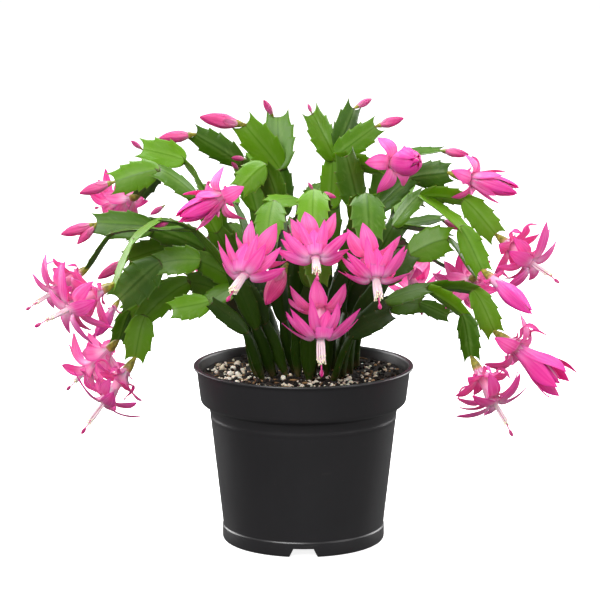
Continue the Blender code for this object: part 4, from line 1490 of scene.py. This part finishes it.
@dataclass
class StemCrown:
    """Every stem of the plant, grown joint by joint from the soil."""

    finish: bpy.types.Material
    ageing: float = 4.6
    sunk: float = 3.0
    kink: float = 0.70
    slim: tuple[float, ...] = (0.86, 0.90, 1.0)

    @staticmethod
    def broad_axis(along: Vector, twist: float) -> Vector:
        """The direction of a segment's width: level, then twisted about the segment.

        Args:
            along: the segment's direction.
            twist: the turn in degrees.

        Returns:
            The direction.
        """
        level = Vector((0.0, 0.0, 1.0)).cross(along)
        if level.length < 0.1:
            level = Vector((1.0, 0.0, 0.0))
        level = (level - along * level.dot(along)).normalized()
        return Matrix.Rotation(math.radians(twist), 3, along) @ level

    def grow_chain(self, shape: Shape, joints: list[Point], widths: list[float],
                   twists: list[float], first: int, rng: random.Random) -> None:
        """Add a run of segments to a stem.

        Args:
            shape: the stem's shape.
            joints: the joints, one more than the segments.
            widths: each segment's width.
            twists: each segment's twist in degrees.
            first: the number of the run's first joint from the soil, 0 at the soil.
            rng: the source of chance.
        """
        points = [np.array(joint, float) for joint in joints]
        if first == 0:
            points[0] = points[0] - np.array((0.0, 0.0, self.sunk))
        runs = [unit(end - start) for start, end in zip(points, points[1:])]
        previous = None
        for number, (along, width, twist) in enumerate(zip(runs, widths, twists)):
            side = self.broad_axis(Vector(along.tolist()), twist + rng.uniform(-6, 6))
            if previous is not None and side.dot(previous) < 0:
                side = -side
            previous = side
            before = runs[number - 1] if number else along
            after = runs[number + 1] if number + 1 < len(runs) else along
            order = first + number
            Segment(
                points[number], points[number + 1],
                unit(along * self.kink + before * (1 - self.kink)),
                unit(along * self.kink + after * (1 - self.kink)),
                np.array(side), width * self.slim[min(order, len(self.slim) - 1)],
                max(0.0, 1.0 - order / self.ageing), rooted=order == 0).grow(shape, rng)

    def build(self) -> None:
        """Grow every stem with its side branches, each stem one piece."""
        for number, (name, (joints, widths, twists)) in enumerate(STEMS.items()):
            rng = random.Random(STEM_SEED + number)
            node = f"stem_{name}"
            check_fit(node, joints)
            shape = Shape("along", "across", "tint", "age", "tooth", "wood")
            self.grow_chain(shape, joints, widths, twists, 0, rng)
            for parent, joint, further, branch_widths, branch_twists in BRANCHES:
                if parent == name:
                    self.grow_chain(shape, [joints[joint]] + further, branch_widths,
                                    branch_twists, joint, rng)
            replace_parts(shape.piece(f"{name}_stem", self.finish, Slot.STEM, 55.0), node)


@dataclass(frozen=True)
class Whorl:
    """A ring of like petals: the side view of one, its width and where they stand.

    The path runs from root to tip as (radius, height) above the bloom's foot. Turns are in
    degrees about the bloom's own line, with 90 on its upper side.
    """

    path: Path
    half_width: float
    turns: tuple[float, ...]
    root_width: float = 0.55
    widest: float = 0.58
    wrap: tuple[float, float] = (0.5, 0.0)
    cup: float = 0.10
    soft: float = 0.0
    # How far the petals turn deeper magenta: partly their own colour, partly painted shade.
    deep_tone_and_shade: float = 0.0
    loose: float = 1.0
    spiral: float = 0.0
    uneven: float = 0.0


def evenly(count: int, first: float) -> tuple[float, ...]:
    """Turns evenly spaced round a bloom, in degrees, from the first one."""
    return tuple(first + 360.0 * number / count for number in range(count))


OPEN_BRACTS = Whorl(
    ((2.8, 8.8), (3.6, 10.8), (6.2, 12.6), (9.0, 11.6)), 2.6, (60.0, 185.0, 300.0),
    soft=0.7, deep_tone_and_shade=0.5)
OPEN_OUTER = Whorl(
    ((2.8, 10.0), (3.6, 14.0), (6.6, 17.2), (12.0, 16.6), (18.0, 11.0), (22.0, 4.0)), 6.8,
    (96.0, 34.0, 152.0, 226.0, 314.0), root_width=0.45, soft=0.30, widest=0.54)
OPEN_LOWER = Whorl(
    ((3.2, 26.0), (3.9, 31.5), (6.4, 34.2), (12.5, 32.5), (19.5, 27.0), (25.5, 19.0)), 4.3,
    (64.0, 116.0, 14.0, 166.0, 208.0, 332.0), root_width=0.5, soft=0.10, uneven=0.25,
    widest=0.5)
OPEN_UPPER = Whorl(
    ((3.2, 30.0), (3.9, 35.0), (6.2, 37.4), (12.0, 35.8), (20.0, 30.6), (28.5, 23.5)), 5.0,
    (38.0, 143.0, 350.0, 190.0), root_width=0.5, uneven=0.25, widest=0.5)
OPEN_SHIELD = Whorl(
    ((3.2, 31.0), (4.2, 36.0), (6.6, 38.2), (9.8, 34.8), (12.8, 28.5), (15.5, 21.5)), 6.2,
    (90.0,), root_width=0.5, cup=-0.10)
SIDE_OUTER = Whorl(
    ((2.8, 10.0), (3.6, 13.5), (7.0, 17.2), (12.5, 19.6), (18.0, 20.6), (23.0, 19.5)), 6.8,
    evenly(5, 22.0), root_width=0.45, soft=0.30, loose=1.1)
SIDE_LOWER = Whorl(
    ((3.2, 25.0), (4.0, 30.0), (7.5, 32.8), (14.0, 32.2), (21.5, 28.6), (28.0, 23.5)), 5.6,
    evenly(5, 50.0), root_width=0.5, soft=0.12, loose=1.0, widest=0.54, uneven=0.15)
SIDE_UPPER = Whorl(
    ((3.2, 30.0), (4.0, 35.0), (7.0, 37.6), (14.0, 37.6), (22.5, 35.4), (31.0, 31.5)), 6.1,
    evenly(5, 14.0), root_width=0.5, loose=0.9, widest=0.54, uneven=0.15)
HALF_OUTER = Whorl(
    ((2.8, 10.0), (3.6, 14.0), (6.6, 18.0), (11.5, 18.6), (16.0, 14.5), (19.5, 8.0)), 6.0,
    (90.0, 22.0, 160.0, 232.0, 308.0), root_width=0.5, soft=0.25)
HALF_MIDDLE = Whorl(
    ((3.0, 13.0), (5.4, 20.0), (8.4, 27.0), (11.0, 34.0), (12.6, 40.5)), 4.2,
    (60.0, 128.0, 200.0, 268.0, 340.0), wrap=(0.9, 0.35), cup=0.16, soft=0.15)
HALF_BELL = Whorl(
    ((3.0, 17.0), (4.8, 24.0), (6.4, 31.0), (6.6, 38.0), (5.4, 45.0), (3.4, 51.5)), 5.6,
    evenly(5, 80.0), wrap=(1.0, 0.6), cup=0.06, deep_tone_and_shade=0.75, loose=0.7, spiral=20.0, widest=0.46)
HALF_HEART = Whorl(
    ((2.4, 22.0), (4.2, 30.0), (4.8, 37.0), (3.4, 44.0), (0.9, 50.5)), 4.8, evenly(3, 30.0),
    wrap=(1.0, 1.0), deep_tone_and_shade=0.9, loose=0.2, spiral=30.0, widest=0.5)
STAR_PETALS = Whorl(
    ((2.8, 12.0), (4.0, 17.0), (8.0, 21.0), (13.5, 21.5), (19.0, 17.5), (24.0, 11.0)), 7.4,
    evenly(5, 90.0), root_width=0.5, soft=0.15, loose=0.8)
ROSE_CORE = Whorl(
    ((3.4, 19.0), (7.0, 25.0), (9.8, 32.0), (10.0, 38.0), (7.4, 43.5), (3.0, 46.5)), 7.8,
    evenly(6, 40.0), wrap=(1.0, 0.9), cup=0.08, deep_tone_and_shade=0.7, loose=0.6, spiral=36.0, widest=0.6)
FLARED_BELL = Whorl(
    ((3.0, 14.0), (4.2, 21.0), (6.2, 29.0), (9.4, 38.0), (11.4, 46.0), (11.0, 53.0)), 6.6,
    evenly(6, 60.0), wrap=(1.0, 0.4), root_width=0.45, cup=0.16, deep_tone_and_shade=0.85, loose=0.8)
SLIM_BELL = Whorl(
    ((2.8, 13.0), (4.2, 20.0), (6.0, 28.0), (6.2, 35.0), (4.4, 43.0), (1.6, 51.5)), 5.2,
    evenly(5, 80.0), wrap=(1.0, 0.45), cup=0.14, deep_tone_and_shade=1.0, loose=0.8, spiral=12.0, widest=0.50)
BUD_SCALES = Whorl(
    ((1.9, 4.4), (2.9, 7.4), (3.8, 11.0), (4.2, 14.6)), 2.9, evenly(3, 50.0),
    wrap=(1.0, 0.7), soft=0.6, deep_tone_and_shade=0.8, loose=0.3)
BUD_WRAP = Whorl(
    ((2.0, 5.0), (3.3, 9.0), (3.9, 13.5), (3.3, 19.0), (1.6, 23.6), (0.35, 26.0)), 3.9,
    evenly(4, 0.0), wrap=(1.0, 1.0), deep_tone_and_shade=0.95, loose=0.12, spiral=34.0, widest=0.46,
    root_width=0.75, soft=0.10)
BUD_CORE = Whorl(
    ((1.4, 6.0), (2.6, 10.0), (3.2, 14.0), (2.6, 19.0), (0.9, 23.5)), 3.4, evenly(3, 45.0),
    wrap=(1.0, 1.0), deep_tone_and_shade=1.0, loose=0.1, spiral=34.0, root_width=0.8, widest=0.46)
RIBBONS = Whorl(
    ((2.6, 9.0), (4.6, 13.4), (10.0, 15.6), (16.0, 13.6), (21.0, 15.5), (24.5, 21.5)), 1.7,
    (35.0, 120.0, 250.0), root_width=0.8, widest=0.75, soft=0.25, loose=2.6, cup=0.5)


PLANS: dict[Kind, tuple[Whorl, ...]] = {
    Kind.OPEN: (OPEN_BRACTS, OPEN_OUTER, OPEN_LOWER, OPEN_UPPER, OPEN_SHIELD),
    Kind.HALF: (OPEN_BRACTS, HALF_OUTER, HALF_MIDDLE, HALF_BELL, HALF_HEART),
    Kind.BUD: (BUD_SCALES, BUD_WRAP, BUD_CORE),
}
SIDE_PLAN = (OPEN_BRACTS, SIDE_OUTER, SIDE_LOWER, SIDE_UPPER)
SPECIAL_PLANS: dict[str, tuple[Whorl, ...]] = {
    "half_top_right": (OPEN_BRACTS, STAR_PETALS, ROSE_CORE, HALF_HEART),
    "half_right_low": (OPEN_BRACTS, HALF_OUTER, FLARED_BELL, HALF_HEART),
    "half_right_mid": (OPEN_BRACTS, SLIM_BELL, HALF_HEART),
    "half_left": (OPEN_BRACTS, SLIM_BELL, HALF_HEART),
}


@dataclass
class Bloom:
    """One flower or bud, grown along its own line from the end of a stem."""

    name: str
    kind: Kind
    base: Point
    end: Point
    seed: int
    petals: bpy.types.Material
    receptacle: bpy.types.Material
    stamens: bpy.types.Material
    style: bpy.types.Material
    node: str | None = None
    ribbons: bool = False
    gap: float = 1.2
    slim: float = 0.86
    beside: bool = False

    LENGTHS = {Kind.OPEN: 63.0, Kind.HALF: 52.0, Kind.BUD: 26.0}
    TUBES = {
        Kind.OPEN: ((1.4, 7.0), (2.9, 9.0), (3.5, 15.0), (3.4, 24.0), (4.1, 32.0), (3.0, 37.0)),
        Kind.HALF: ((1.4, 7.0), (2.9, 9.0), (3.6, 14.0), (4.4, 20.0), (5.0, 29.0), (4.6, 38.0),
                    (2.6, 45.0), (0.5, 49.0)),
        Kind.BUD: ((0.8, 4.5), (1.9, 6.0), (2.6, 10.0), (2.4, 14.0), (1.0, 18.0)),
    }
    FLOWER_OVARY = ((1.1, -1.6), (1.6, 0.4), (2.6, 3.6), (3.2, 7.0), (3.3, 9.8), (2.2, 11.4))
    BUD_OVARY = ((0.9, -1.6), (1.2, 0.2), (1.9, 2.6), (2.4, 5.2), (2.2, 6.8), (1.2, 7.6))
    STATIONS = 17
    TURNED_STATIONS = 14
    TURNED_SIDES = 20
    SIDE_BUNDLE = (16, 0.50)
    FRONT_BUNDLE = (30, 0.80)
    FILAMENT_STATIONS = 7
    FILAMENT_RADIUS = 0.31
    STYLE_RADIUS = 0.45
    COLUMNS = (-1.0, -0.88, -0.66, -0.42, -0.2, 0.0, 0.2, 0.42, 0.66, 0.88, 1.0)

    def __post_init__(self) -> None:
        """Work out the bloom's own axes and size from its two ends."""
        span = Vector(self.end) - Vector(self.base)
        along = span.normalized()
        self.size = (span.length - self.gap) / self.LENGTHS[self.kind]
        self.origin = np.array(Vector(self.base) + along * self.gap)
        self.axes = np.array(along.to_track_quat("Z", "Y").to_matrix())
        self.rng = random.Random(self.seed)

    def place(self, points: np.ndarray) -> np.ndarray:
        """Carry points from the bloom's own frame to the plant's."""
        return self.origin + self.size * points @ self.axes.T

    def petal_width(self, whorl: Whorl, share: np.ndarray) -> np.ndarray:
        """Widen a petal from its root and narrow it again to its tip.

        Args:
            whorl: the plan of its ring.
            share: the rows' places along the petal.

        Returns:
            Half the petal's width at each row.
        """
        rising = np.clip(share / whorl.widest, 0.0, 1.0)
        falling = np.clip((share - whorl.widest) / (1.0 - whorl.widest), 0.0, 1.0)
        width = whorl.half_width * self.slim * self.rng.uniform(0.88, 1.10) * (
            whorl.root_width + (1.0 - whorl.root_width) * np.sin(rising * math.pi / 2) ** 1.5)
        return width * np.clip(1.0 - falling**1.8, 0.0, 1.0) ** 0.95 + 0.10

    def petal(self, shape: Shape, whorl: Whorl, turn: float) -> None:
        """Add one petal.

        Args:
            shape: the petals' shape.
            whorl: the plan of its ring.
            turn: where it stands, in degrees.
        """
        rng, loose = self.rng, whorl.loose
        path = smooth_path(whorl.path, self.STATIONS)
        share = np.linspace(0.0, 1.0, self.STATIONS)
        droop = max(0.0, -math.sin(math.radians(turn))) * whorl.uneven
        reach = (1.0 + rng.uniform(-0.10, 0.06) * loose) * (1.0 - droop)
        radius = path[:, 0] * (1.0 + (reach - 1.0) * share)
        height = path[:, 1] + rng.uniform(-2.2, 2.2) * loose * share**2
        column = np.array(self.COLUMNS)
        outer = np.abs(column)

        swing = (math.radians(turn + rng.uniform(-7, 7) * loose + self.spin)
                 + math.radians(whorl.spiral + rng.uniform(-9, 9) * loose) * share**1.6)
        width = self.petal_width(whorl, share)
        outward = np.stack([np.cos(swing), np.sin(swing), np.zeros_like(swing)], axis=1)
        aside = np.stack([-np.sin(swing), np.cos(swing), np.zeros_like(swing)], axis=1)
        centre = outward * radius[:, None]
        centre[:, 2] = height
        along = unit(np.gradient(centre, axis=0))
        inward = unit(np.cross(aside, along))
        lean = rng.uniform(-0.34, 0.34) * loose * share[:, None]
        across = unit(aside * np.cos(lean) + inward * np.sin(lean))
        inward = np.cross(across, along)
        flat = centre[:, None] + across[:, None] * np.outer(width, column)[..., None]
        round_turn = swing[:, None] + np.outer(width / np.maximum(radius, 0.8), column)
        wrapped = np.stack([
            radius[:, None] * np.cos(round_turn), radius[:, None] * np.sin(round_turn),
            np.repeat(height[:, None], len(column), axis=1)], axis=2)
        hug = (whorl.wrap[0] + (whorl.wrap[1] - whorl.wrap[0]) * share)[:, None, None]
        cup = whorl.cup * rng.uniform(0.2, 1.5)
        wave = rng.uniform(-0.5, 0.5) * loose * np.sin(share * 7.0 + rng.uniform(0, 6))
        flutes = 0.16 * np.cos(column * 10.5) - 0.42 * np.exp(-((column / 0.17) ** 2))
        lift = (width[:, None] * cup * outer**2 + flutes * np.sin(share * math.pi)[:, None]
                + np.outer(wave * share, column * outer))
        middle = flat * (1.0 - hug) + wrapped * hug + inward[:, None] * lift[..., None]
        half = (0.16 + 0.20 * (1.0 - share))[:, None] * np.sqrt(np.clip(1.0 - outer**3, 0, 1))
        half = np.maximum(half, 0.03) * (outer < 1.0)
        shape.blade(self.place(middle), half * self.size, {
            "along": share[:, None], "across": column, "tint": rng.random(),
            "soft": np.clip(whorl.soft * rng.uniform(0.6, 1.2), 0, 1), "deep_tone_and_shade": whorl.deep_tone_and_shade})

    def straight(self, shape: Shape, outline: Path, flute: float,
                 values: dict[str, Any]) -> None:
        """Add a turned body on the bloom's line.

        Args:
            shape: the shape that takes it.
            outline: (radius, height) from its lower end to its upper one.
            flute: the depth of its flutes as a share of its radius.
            values: the values at its points.
        """
        rows = smooth_path(outline, self.TURNED_STATIONS)
        path = np.zeros((len(rows), 3))
        path[:, 2] = rows[:, 1]
        sides = self.TURNED_SIDES
        ripple = 1.0 + flute * np.cos(np.arange(sides) * math.tau * 5 / sides)
        radii = np.maximum(rows[:, :1], 0.08) * ripple
        shape.tube(self.place(path), radii * self.size, sides, values)

    def build_petals(self) -> bpy.types.Object:
        """Grow every petal and the tube, as one piece.

        Returns:
            The piece.
        """
        plans = SPECIAL_PLANS.get(self.name, PLANS[self.kind])
        if self.kind is Kind.OPEN and self.beside:
            plans = SIDE_PLAN
        closed = self.kind is Kind.BUD
        self.spin = self.rng.uniform(0, 90) if closed else self.rng.uniform(-8, 8)
        shape = Shape("along", "across", "tint", "soft", "deep_tone_and_shade")
        for whorl in plans + ((RIBBONS,) if self.ribbons else ()):
            for turn in whorl.turns:
                self.petal(shape, whorl, turn)
        self.straight(shape, self.TUBES[self.kind], 0.05, {
            "along": np.linspace(0.30, 0.0, self.TURNED_STATIONS), "across": 0.5,
            "tint": self.rng.random(), "soft": 0.35, "deep_tone_and_shade": 0.0})
        slot = Slot.BUD if closed else Slot.PETAL
        return shape.piece(f"{self.name}_petals", self.petals, slot, 60.0)

    def build_receptacle(self) -> None:
        """The olive ovary at the foot, with its fine ribs."""
        outline = self.BUD_OVARY if self.kind is Kind.BUD else self.FLOWER_OVARY
        shape = Shape("along")
        self.straight(shape, outline, 0.06, {"along": np.linspace(0, 1, self.TURNED_STATIONS)})
        shape.piece(f"{self.name}_receptacle", self.receptacle, Slot.RECEPTACLE, 60.0)

    def build_stamens(self) -> None:
        """The bundle of filaments with their anthers, and the style through its middle."""
        rng = self.rng
        silk = Shape("along", "tip")
        bend = rng.uniform(0.6, 1.6)
        count, girth = self.SIDE_BUNDLE if self.beside else self.FRONT_BUNDLE
        for number in range(count):
            turn = number * GOLDEN_TURN
            spread = girth * (0.9 + 2.1 * math.sqrt((number + 0.5) / count))
            top = rng.uniform(49.0, 54.5)
            foot = np.array((spread * 0.75 * math.cos(turn), spread * 0.75 * math.sin(turn), 33.0))
            tip = np.array((spread * 1.15 * math.cos(turn) + rng.uniform(-0.5, 0.5),
                            spread * 1.15 * math.sin(turn) + bend + rng.uniform(-0.5, 0.5), top))
            belly = (foot + tip) / 2 + np.array((math.cos(turn), math.sin(turn), 0.0)) * 0.35
            path = smooth_path((foot, belly, tip), self.FILAMENT_STATIONS)
            radii = np.full(self.FILAMENT_STATIONS, self.FILAMENT_RADIUS) * self.size
            silk.tube(self.place(path), radii, 5,
                      {"along": np.linspace(0, 1, self.FILAMENT_STATIONS), "tip": 0.0})
            lean = unit(np.array((rng.uniform(-0.6, 0.6), rng.uniform(-0.6, 0.6), 1.0)))
            anther = tip + np.linspace(-0.7, 0.9, 5)[:, None] * lean
            silk.tube(self.place(anther), np.array((0.22, 0.50, 0.58, 0.46, 0.16)) * self.size, 6,
                      {"along": 1.0, "tip": 1.0})
        silk.piece(f"{self.name}_stamens", self.stamens, Slot.STAMEN, 70.0)
        self.build_style(bend)

    def build_style(self, bend: float) -> None:
        """The style, with its swollen stigma.

        Args:
            bend: how far its tip leans.
        """
        style = Shape("tip")
        knots = ((0.0, 0.0, 33.0), (0.0, bend * 0.4, 45.0), (0.0, bend * 0.9, 53.0),
                 (0.0, bend * 0.9, 58.8))
        path = self.place(smooth_path(knots, 12))
        style.tube(path, np.full(len(path), self.STYLE_RADIUS) * self.size, 8, {"tip": 0.0})
        stigma = smooth_path(((0.0, bend * 0.9, 58.0), (0.0, bend * 0.9, 63.0)), 9)
        swell = np.array((0.5, 0.85, 1.05, 1.15, 1.2, 1.15, 1.0, 0.7, 0.25))
        ripple = 1.0 + 0.14 * np.cos(np.arange(14) * math.tau * 7 / 14)
        style.tube(self.place(stigma), swell[:, None] * ripple * self.size, 14, {"tip": 1.0})
        style.piece(f"{self.name}_style", self.style, Slot.STYLE, 60.0)

    def build(self) -> None:
        """Grow the whole bloom."""
        petals = self.build_petals()
        if self.node:
            check_fit(self.node, [self.origin, self.end])
            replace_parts(petals, self.node)
        self.build_receptacle()
        if self.kind is Kind.OPEN:
            self.build_stamens()


# Buds too small to have a node of their own: base and tip.
SMALL_BUDS: dict[str, tuple[Point, Point]] = {
    "small_bud_fan": ((6, 0, 302), (3, 2, 309)),
    "small_bud_left_high": ((-114, 40, 272), (-122, 36, 279)),
    "small_bud_left_mid": ((-145, 8, 224), (-158, -2, 211)),
    "small_bud_top_left": ((-41, 50, 264), (-51, 42, 266)),
    "small_bud_pale": ((-46, 48, 256), (-51, 42, 263)),
    "small_bud_left_thin": ((-97, 8, 237), (-107, 3, 231)),
    "small_bud_left_arch": ((-89, -52, 236), (-101, -58, 232)),
    "small_bud_middle": ((11, -53, 255), (22, -58, 252)),
    "small_bud_front": ((7, -48, 255), (3, -47, 261)),
    "deep_bud_front_left": ((-12, -62, 206), (-25, -92, 185)),
}


@dataclass(frozen=True)
class Lamp:
    """One soft rectangular lamp: its place and size in metres, its power in watts."""

    name: str
    place: Point
    size: tuple[float, float]
    power: float
    mirrored: bool = True


LAMPS = (
    Lamp("key", (-0.9, -2.0, 1.7), (1.6, 1.2), 64.0),
    Lamp("reflector", (0.0, -1.7, 0.1), (2.4, 0.7), 12.0, mirrored=False),
    Lamp("fill", (1.9, -1.2, 0.9), (1.2, 1.6), 12.0),
    Lamp("back_left", (-1.5, 1.0, 0.7), (1.3, 1.8), 46.0),
    Lamp("back_right", (1.5, 1.0, 0.7), (1.3, 1.8), 40.0),
    Lamp("top", (0.0, 0.5, 2.2), (1.4, 1.4), 58.0),
)


@dataclass
class Stage:
    """The pale floor, the soft lamps and the camera."""

    paper: bpy.types.Material
    floor_radius: float = 9.0
    floor_gap: float = 0.0002
    target: Point = (-0.0024, 0.0, 0.171)
    distance: float = 1.9
    elevation: float = 10.5
    lens: float = 162.5
    world: float = 0.16

    def build_floor(self) -> None:
        """A wide round floor."""
        disc = bmesh.new()
        bmesh.ops.create_circle(disc, cap_ends=True, segments=96, radius=self.floor_radius)
        mesh = bpy.data.meshes.new("floor")
        disc.to_mesh(mesh)
        disc.free()
        mesh.materials.append(self.paper)
        floor = bpy.data.objects.new("floor", mesh)
        floor.location.z = -self.floor_gap
        floor.visible_diffuse = False
        floor.visible_glossy = False
        bpy.context.scene.collection.objects.link(floor)

    def hang(self, lamp: Lamp) -> None:
        """Hang one lamp so that it faces the plant.

        Args:
            lamp: the lamp.
        """
        light = bpy.data.lights.new(lamp.name, "AREA")
        light.shape = "RECTANGLE"
        light.size, light.size_y = lamp.size
        light.energy = lamp.power
        item = bpy.data.objects.new(lamp.name, light)
        item.location = lamp.place
        facing = Vector(self.target) - Vector(lamp.place)
        item.rotation_euler = facing.to_track_quat("-Z", "Y").to_euler()
        item.visible_glossy = lamp.mirrored
        bpy.context.scene.collection.objects.link(item)

    def build_camera(self) -> None:
        """The camera, in front and a little above."""
        camera = bpy.data.cameras.new("camera")
        camera.lens = self.lens
        item = bpy.data.objects.new("camera", camera)
        rise = math.radians(self.elevation)
        back = Vector((0.0, -math.cos(rise), math.sin(rise)))
        item.location = Vector(self.target) + back * self.distance
        item.rotation_euler = (-back).to_track_quat("-Z", "Y").to_euler()
        bpy.context.scene.collection.objects.link(item)
        bpy.context.scene.camera = item

    def build(self) -> None:
        """Set the whole stage."""
        self.build_floor()
        for lamp in LAMPS:
            self.hang(lamp)
        world = bpy.data.worlds.new("white_room")
        world.use_nodes = True
        sky = world.node_tree.nodes["Background"]
        sky.inputs["Color"].default_value = (1.0, 1.0, 1.0, 1.0)
        sky.inputs["Strength"].default_value = self.world
        scene = bpy.context.scene
        scene.world = world
        scene.view_settings.view_transform = "Standard"
        scene.view_settings.look = "None"
        self.build_camera()


RIBBONED = ("flower_half_right_low", "flower_right_low", "flower_right_outer",
            "flower_left_outer", "flower_left_low")


def main() -> None:
    """Build the pot, the soil, the stems, the blooms and the stage."""
    logging.basicConfig(level=logging.INFO, format="%(name)s %(message)s")
    NurseryPot(PotPlastic().make()).build()
    SoilBed(PottingMix().make(), PerliteStone().make(), BarkChip().make()).build()
    StemCrown(StemSkin().make()).build()
    petals = PetalSkin().make()
    buds = PetalSkin("bud_pink", body=(0.86, 0.11, 0.35), deep=(0.56, 0.018, 0.17),
                     soft=(0.92, 0.42, 0.50)).make()
    parts = (ReceptacleSkin().make(), StamenSilk().make(), StyleSkin().make())
    for number, (name, (kind, base, end)) in enumerate(BLOOMS.items()):
        skin = buds if kind is Kind.BUD else petals
        label = name.replace("flower_", "", 1)
        beside = label.startswith(("left", "right"))
        Bloom(label, kind, base, end, BLOOM_SEED + number, skin, *parts, node=name,
              ribbons=name in RIBBONED, beside=beside).build()
    for number, (name, (base, end)) in enumerate(SMALL_BUDS.items()):
        Bloom(name, Kind.BUD, base, end, SMALL_BUD_SEED + number, buds, *parts, gap=0.4).build()
    Stage(FloorPaper().make()).build()


if __name__ == "__main__":
    main()
